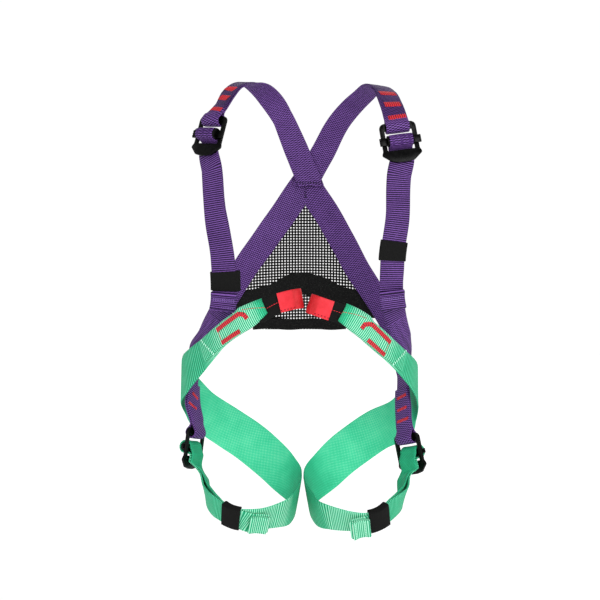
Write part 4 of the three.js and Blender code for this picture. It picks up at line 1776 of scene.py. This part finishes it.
    def build_seams(self, name: str, rising: Route) -> None:
        """Sew the red tacks, the pale cross seam and the fold's stitches.

        Args:
            name: The side's name.
            rising: The strap's route with its inner face up.
        """
        solid = self.solid
        red = bmesh.new()
        for tack in self.tacks:
            middle = tack.points[len(tack.points) // 2][0]
            tack.add(red, solid, solid.frame(middle).thick / 2 + TACK_RISE)
        seat(make_piece(f"leg_tacks_{name}", red, RED_THREAD), "red_sleeve")
        thin = bmesh.new()
        outer_ends = (self.tacks[0].points[0], self.tacks[1].points[0])
        for ends in (self.line, outer_ends):
            self.line_stitch.sew(thin, [solid.on_face(t, u, solid.frame(t).thick / 2 + self.line_rise)
                                        for t, u in spots_between(ends, 14)])
        seat(make_piece(f"leg_line_stitches_{name}", thin, RED_THREAD), "red_sleeve")
        pale = bmesh.new()
        self.seam_stitch.sew(pale, [solid.on_face(t, u, self.seam_lift) for t, u in spots_between(self.seam, 8)])
        for line in self.fold.seams(rising, self.fold_seams, self.fold_seam_half):
            self.fold_stitch.sew(pale, line)
        seat(make_piece(f"leg_pale_stitches_{name}", pale, PALE_THREAD), "green_webbing")


@dataclass
class Keeper:
    """A black elastic sleeve that holds a tail on its strap."""

    name: str
    rows: tuple[Row, ...]
    start: float
    end: float
    clear: float
    wider: float = 0.0
    aside: float = 0.0
    wall: float = 1.1
    edge: float = 0.3
    ridge_pitch: float = 1.8
    ridge_height: float = 0.05

    def build(self) -> None:
        """Knit the sleeve as a closed band with rounded corners, and give it its wall."""
        wide = WEB_WIDTH + 2 * self.clear + self.wall + self.wider
        stack = LAYER + WEB_THICK + 2 * self.clear + self.wall
        places = Route.of(self.rows).beside(self.start, self.end, LAYER / 2, 4.0, wide, stack)
        knit = ribs(self.ridge_pitch, self.ridge_height, 0.0)

        def shifted(length: float, a: float, o: float) -> tuple[float, float]:
            """Fine ridges, on a sleeve that sits to one side."""
            wander, up = knit(length, a, o)
            return wander + self.aside, up

        bm = bmesh.new()
        sweep(bm, Route(places), flat_section(), 0.9, shifted, capped=False)
        piece = make_piece(self.name + "_elastic", bm, BLACK_ELASTIC)
        add_wall(piece, self.wall, self.edge)
        seat(piece, "black_elastic", self.name)


@dataclass
class TieIn:
    """A black tape loop at the belly, with a red wear sleeve round its end."""

    side: Side
    end: Point
    mouth: Point
    inside: Point
    bend: float = 6.0
    tape_wide: float = 20.0
    tape_thick: float = 1.5
    sleeve_wide: float = 20.6
    sleeve_thick: float = 1.6
    spread: float = 1.1
    back: float = 15.5
    closing: float = 0.8
    droop: float = 0.0
    thread_pitch: float = 1.6
    hem: Stitch = Stitch(3.4, 2.0, 0.6)
    dash: Stitch = Stitch(3.0, 2.3, 0.38)

    def plan(self, away: float, wide: float, thick: float) -> tuple[list[Place], list[Place], list[Place]]:
        """Lay out the loop: out along its front, round the bend and back along its rear.

        Args:
            away: Distance outside the tape's middle line.
            wide: Width of the section.
            thick: Thickness of the section.

        Returns:
            Places of the front, of the bend and of the rear.
        """
        end, mouth, inside = Vector(self.end), Vector(self.mouth), Vector(self.inside)
        straight = (end - mouth).normalized()
        level = Vector((straight.x, straight.y, 0)).normalized()
        towards = straight.lerp(level, self.droop).normalized()
        half_way = (straight + towards).normalized()
        front = Vector((0, -1, 0))
        front = (front - towards * front.dot(towards)).normalized()
        centre = end - towards * self.bend
        radius = self.bend + away
        arc = []
        for i in range(15):
            angle = math.pi / 2 - i / 14 * math.pi
            face = front * math.sin(angle) + towards * math.cos(angle)
            arc.append(Place(centre + face * radius, face, wide, thick))

        def leg(sign: int) -> list[Place]:
            """Lay out one straight side of the loop, from the bend inward.

            Args:
                sign: 1 for the front and -1 for the rear.

            Returns:
                Its places.
            """
            face = front * sign
            return [
                Place(centre - half_way * self.back + front * sign * (radius - self.closing), face, wide, thick),
                Place(mouth + front * sign * self.spread, face, wide, thick),
                Place(inside + front * sign * self.spread, face, wide, thick),
            ]

        return leg(1)[::-1], arc, leg(-1)

    def build(self) -> None:
        """Weave the tape and its sleeve, and sew the sleeve's hem and the red dashes along the tape."""
        name = self.side.value
        front, arc, rear = self.plan(0, self.tape_wide, self.tape_thick)
        tape = Route(front + arc + rear)
        bm = bmesh.new()
        sweep(bm, tape, flat_section(), ROW_STEP, ribs(self.thread_pitch, 0.04, 0.1))
        seat(make_piece(f"tie_in_tape_{name}", bm, BLACK_TAPE), "black_tape", f"tie_in_loop_{name}")
        away = self.tape_thick / 2 + GAP + self.sleeve_thick / 2
        front, arc, rear = self.plan(away, self.sleeve_wide, self.sleeve_thick)
        sleeve = Route([front[2], *arc, rear[0]])

        def shade(count: float) -> float:
            """Deeper round the bend, which turns away from the light."""
            return 0.24 * clamp(count - 0.35)

        bm = bmesh.new()
        sweep(bm, sleeve, flat_section(), 0.9, ribs(self.thread_pitch, 0.03, 0.35), shade=shade)
        seat(make_piece(f"tie_in_wear_sleeve_{name}", bm, RED_SLEEVE), "red_sleeve", f"tie_in_sleeve_{name}")
        hem = bmesh.new()
        low = 0.4 * self.sleeve_wide * self.side.sign
        high = self.sleeve_thick / 2 + 0.2
        self.hem.sew(hem, [sleeve.on_face(0.06 + 0.88 * i / 6, low, high) for i in range(7)])
        seat(make_piece(f"tie_in_hem_stitches_{name}", hem, DARK_RED_THREAD), "red_sleeve")
        dashes = bmesh.new()
        high = self.tape_thick / 2 + 0.15
        self.dash.sew(dashes, [tape.on_face(0.7 + 1.5 * i / 8, -1.0 * self.side.sign, high) for i in range(9)])
        seat(make_piece(f"tie_in_dashes_{name}", dashes, RED_THREAD), "red_sleeve")


@dataclass
class BackPanel:
    """A black net between the back straps, with an arched waist band and a bound lower edge."""

    half_width: float = 120.0
    depth: float = 78.0
    net_offset: float = 7.0
    net_thick: float = 0.9
    # Spacing of the holes, and width of the threads between them
    pitch: float = 3.3
    bar: float = 1.45
    # Below this height the rows of holes bow up in the middle and sink at the sides
    bow_from: float = -150.0
    bow_over: float = 60.0
    bow: float = 7.0
    sink: float = 3.0
    band_offset: float = 5.0
    band_thick: float = 1.7
    band_edge: float = 0.45
    band_swell: float = 0.9
    binding_swell: float = 0.7
    net: Outline = ((-3, -116), (7, -116), (66, -216), (47, -264), (-57, -264), (-72, -216))
    band_top: Outline = ((-78, -229), (-66, -222), (-34, -212), (-19, -203), (-5, -200.5), (10, -202), (25, -206.5),
                         (41, -215), (61, -221), (73, -229), (81, -241))
    band_low: Outline = ((-78, -244), (-57, -251), (-30, -238), (-18, -228), (-4, -225), (12, -228), (27, -238),
                         (47, -251), (81, -251))
    strips: tuple[str, ...] = ("far_left", "left", "middle", "right", "far_right")
    binding: Outline = ((-57, -252), (47, -264.5))
    binding_steps: int = 14

    def on_back(self, x: float, z: float, offset: float) -> Vector:
        """Return the point of the back at x and z.

        Args:
            x: Across.
            z: Up.
            offset: Distance behind the back's curve.

        Returns:
            The point, in metres.
        """
        y = self.depth * math.sqrt(max(0.0, 1 - (x / self.half_width) ** 2)) + offset
        return Vector((x, y, z)) * MM

    def binding_edges(self) -> tuple[Outline, Outline]:
        """Lay out the binding, whose edges pucker a little.

        Returns:
            Its upper and its lower edge.
        """
        (left, top), (right, low) = self.binding
        xs = [left + (right - left) * i / self.binding_steps for i in range(self.binding_steps + 1)]
        upper = tuple((x, top + 0.5 * math.sin(x / 6.0)) for x in xs)
        lower = tuple((x, low + 0.7 + 0.7 * math.sin(x / 7.5 + 0.6)) for x in xs)
        return upper, lower

    def build(self) -> None:
        """Knit the net, then sew the band and the binding on it."""
        net = self.build_net()
        band = self.build_strip("waist_band_knit", self.band_top, self.band_low, self.band_swell, "waist_band")
        binding = self.build_strip("binding_tape", *self.binding_edges(), self.binding_swell, "bottom_binding")
        area = 0.5 * abs(sum(a[0] * b[1] - b[0] * a[1] for a, b in zip(self.net, self.net[1:] + self.net[:1])))

    def build_net(self) -> Object:
        """Punch a grid into a net, trim it to its outline and lay it on the back.

        Returns:
            The piece.
        """
        bm = bmesh.new()
        xs, zs = [p[0] for p in self.net], [p[1] for p in self.net]
        columns = round((max(xs) - min(xs)) / self.pitch) + 2
        rows = round((max(zs) - min(zs)) / self.pitch) + 8
        bmesh.ops.create_grid(bm, x_segments=columns, y_segments=rows, size=0.5)
        middle = Vector(((max(xs) + min(xs)) / 2, (max(zs) + min(zs)) / 2 - 6, 0))
        size = Matrix.Diagonal((columns * self.pitch, rows * self.pitch, 1, 1))
        bmesh.ops.transform(bm, matrix=Matrix.Translation(middle) @ size, verts=bm.verts)
        cells = bm.faces[:]
        bmesh.ops.inset_individual(bm, faces=cells, thickness=self.bar / 2, use_even_offset=True)
        bmesh.ops.delete(bm, geom=cells, context="FACES")
        for v in bm.verts:
            low = clamp((self.bow_from - v.co.y) / self.bow_over)
            v.co.y += self.bow * low * math.cos(v.co.x / 60) - self.sink * low
        corners = [Vector((x, z, 0)) for x, z in self.net]
        for a, b in zip(corners, corners[1:] + corners[:1]):
            edge = (b - a).normalized()
            cut_off(bm, a, Vector((-edge.y, edge.x, 0)))
        for v in bm.verts:
            v.co = self.on_back(v.co.x, v.co.y, self.net_offset)
        piece = make_piece("back_net", bm, BLACK_KNIT)
        add_wall(piece, self.net_thick)
        smooth = piece.modifiers.new("round holes", "SUBSURF")
        smooth.levels = 1
        smooth.render_levels = 1
        return seat(piece, "black_net", *(f"back_mesh_{strip}" for strip in self.strips))

    def build_strip(self, name: str, top: Outline, low: Outline, swell: float, cad: str) -> Object:
        """Stretch a strip of fabric between two edges on the back.

        Args:
            name: The piece's name.
            top: Its upper edge, from left to right.
            low: Its lower edge, from left to right.
            swell: How far its middle stands off the net.
            cad: The CAD node that it stands for.

        Returns:
            The piece.
        """
        edges = [Route([Place(Vector((x, 0, z)), Vector((0, -1, 0))) for x, z in line]) for line in (top, low)]
        bm = bmesh.new()
        chart = layer(bm.loops.layers.uv, WEAVE_MAP)
        made = bmesh.ops.create_grid(bm, x_segments=90, y_segments=8, size=0.5)["verts"]
        for face in bm.faces:
            for loop in face.loops:
                loop[chart].uv = (loop.vert.co.y * 25, loop.vert.co.x * 110)
        for v in made:
            share, drop = v.co.x + 0.5, v.co.y + 0.5
            a, b = (edge.point(share * edge.last) for edge in edges)
            at = a.lerp(b, drop)
            rise = swell * (1 - (2 * drop - 1) ** 4)
            v.co = self.on_back(at.x, at.z, self.band_offset - rise)
        piece = make_piece(name, bm, BLACK_KNIT)
        add_wall(piece, self.band_thick, self.band_edge)
        return seat(piece, "black_tape", cad)


@dataclass
class Studio:
    """A pale floor, soft lights and a camera at eye level with the harness."""

    floor_z: float = -0.72
    floor_radius: float = 14.0
    aim: Point = (0, 0, -0.23)
    camera_at: Point = (-0.00432, -2.0, -0.231)
    frame_wide: float = 0.648
    sensor: float = 36.0

    def build(self) -> None:
        """Set up floor, lights, sky and camera."""
        self.lay_floor()
        self.hang_lights()
        self.set_camera()

    def lay_floor(self) -> None:
        """A wide pale disc under the harness."""
        bm = bmesh.new()
        bmesh.ops.create_circle(bm, cap_ends=True, segments=96, radius=self.floor_radius)
        bmesh.ops.translate(bm, verts=bm.verts, vec=(0, 0, self.floor_z))
        floor = make_piece("studio_floor", bm, PaleFloor("white studio floor"))

    def hang_lights(self) -> None:
        """A large key from the front right, a fill from the left, and a sky that is brightest near the floor."""
        world = bpy.data.worlds.new("studio sky")
        bpy.context.scene.world = world
        world.use_nodes = True
        tree = world.node_tree
        tree.nodes.clear()
        way = node(tree, "ShaderNodeTexCoord").outputs["Generated"]
        height = node(tree, "ShaderNodeSeparateXYZ", {0: way}).outputs[2]
        glow = node(tree, "ShaderNodeMapRange", {0: height, 1: 0.16, 2: 0.45, 3: 1.02, 4: 0.42},
                    interpolation_type="SMOOTHSTEP")
        sky = node(tree, "ShaderNodeBackground", {"Color": linear("FFFFFF"), "Strength": glow})
        node(tree, "ShaderNodeOutputWorld", {"Surface": sky})
        # Name, place and size in metres, and power in watts
        lamps = (
            ("key light", (0.9, -2.1, 0.6), 1.3, 32.0),
            ("fill light", (-1.5, -1.5, 0.4), 1.4, 9.0),
            ("back light", (0.4, 1.7, 1.0), 1.6, 8.0),
        )
        aim = Vector(self.aim)
        for name, at, size, power in lamps:
            lamp = bpy.data.lights.new(name, "AREA")
            lamp.size = size
            lamp.energy = power
            holder = bpy.data.objects.new(name, lamp)
            holder.location = at
            holder.rotation_euler = (aim - Vector(at)).to_track_quat("-Z", "Y").to_euler()
            bpy.context.scene.collection.objects.link(holder)

    def set_camera(self) -> None:
        """A long lens, level, straight ahead."""
        lens = bpy.data.cameras.new("camera")
        lens.sensor_width = self.sensor
        lens.lens = self.sensor * -self.camera_at[1] / self.frame_wide
        lens.clip_end = 60.0
        holder = bpy.data.objects.new("camera", lens)
        holder.location = self.camera_at
        holder.rotation_euler = Euler((math.pi / 2, 0, 0))
        bpy.context.scene.collection.objects.link(holder)
        bpy.context.scene.camera = holder
        bpy.context.scene.view_settings.view_transform = "Standard"


class SubAssembly(Protocol):
    """A part of the harness that can build itself."""

    def build(self) -> None:
        """Make its pieces."""


@dataclass
class Harness:
    """All sub-assemblies, in the order that they are sewn."""

    parts: list[SubAssembly] = field(default_factory=list)

    def plan(self) -> None:
        """List every sub-assembly with what the two sides have of their own."""
        left, right = Side.LEFT, Side.RIGHT
        self.parts += list(BUCKLES.values())
        self.parts += [
            ShoulderStrap(left, (
                Tack(((5.95, -9.0), (6.5, 9.0)), 7.6),
                Tack(((6.6, -9.0), (7.15, 9.0)), 7.4),
                Tack(((7.55, -9.0), (7.95, 9.0)), 5.8),
            )),
            ShoulderStrap(right, (
                Tack(((6.44, -9.0), (6.33, 8.8)), 9.0),
                Tack(((7.13, -8.4), (7.06, 9.4)), 8.0),
                Tack(((7.95, -8.0), (7.89, 10.8)), 6.0, ragged=0.7),
            )),
            BackStrap(left, (
                Tack(((6.7, 4.5), (6.86, -7.0)), 3.4),
                Tack(((7.02, 10.5), (7.28, -2.1)), 3.4),
            )),
            BackStrap(right, (
                Tack(((6.72, 6.7), (6.63, -9.6)), 3.4),
                Tack(((7.1, 6.7), (7.05, -8.8)), 3.4),
                Tack(((7.53, 7.9), (7.53, -10.5)), 3.4),
            )),
            CrossingStitches(),
            ChestStrap(left, TailFold(upper=3.3, lower=2.95, skew=0.6, curl=3.4, gape=1.0, wide=27.5)),
            ChestStrap(right, TailFold(upper=3.34, lower=3.0, skew=-1.2, curl=3.4, gape=1.0, wide=27.0)),
            LegStrap(
                left,
                fold=TailFold(upper=15.42, lower=14.62, skew=-4.0, curl=1.6, bow=3.0, bow_from=17.6, wide=21.5),
                seam=((3.78, -11.6), (3.4, 11.6)),
                tacks=(
                    Tack(((2.79, -6.5), (1.48, -8.2), (1.28, -5.6), (1.2, 0.0)), 4.6),
                    Tack(((2.81, 8.2), (1.83, 7.8)), 4.6),
                ),
                line=((1.21, -10.4), (0.05, -2.6)),
            ),
            LegStrap(
                right,
                fold=TailFold(upper=16.1, lower=15.1, skew=3.0, curl=2.6, bow=3.0, bow_from=17.8, gape=0.9,
                              wide=24.0),
                seam=((3.86, 11.6), (3.4, -11.6)),
                tacks=(
                    Tack(((2.86, 6.1), (1.7, 8.2), (1.56, 6.5), (1.41, 3.0), (1.4, -2.2)), 4.6),
                    Tack(((2.86, -9.4), (1.93, -7.4)), 4.6),
                ),
                line=((1.28, 9.5), (0.05, 2.6)),
                sag=4.0,
                # Painted shade reaches further round the right inner thigh
                thigh=PaintedShadeBand(0.34, start=10.9, fade_in=1.3, end=14.1, fade_out=0.5),
            ),
            Keeper("chest_keeper_left", CHEST[left], start=3.37, end=3.79, clear=0.7, wider=3.0, aside=-1.6),
            Keeper("chest_keeper_right", CHEST[right], start=4.03, end=4.44, clear=0.7),
            Keeper("leg_keeper_left", LEG[left], start=16, end=17.4, clear=1.1),
            Keeper("leg_keeper_right", LEG[right], start=16.2, end=17.6, clear=1.1),
            TieIn(left, end=(-4.6, -94, -229.5), mouth=(-39, -92, -241), inside=(-49, -90.8, -246), droop=0.5),
            TieIn(right, end=(7.2, -94, -235), mouth=(38, -92, -245.5), inside=(48, -90.8, -251)),
            BackPanel(),
        ]

    def build(self) -> None:
        """Make every sub-assembly."""
        for part in self.parts:
            part.build()


def main() -> None:
    """Load the frame, set the studio and build the harness."""
    logging.basicConfig(level=logging.INFO, format="%(name)s %(message)s")
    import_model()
    Studio().build()
    harness = Harness()
    harness.plan()
    harness.build()
    bpy.context.view_layer.update()
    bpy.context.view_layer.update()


if __name__ == "__main__":
    main()
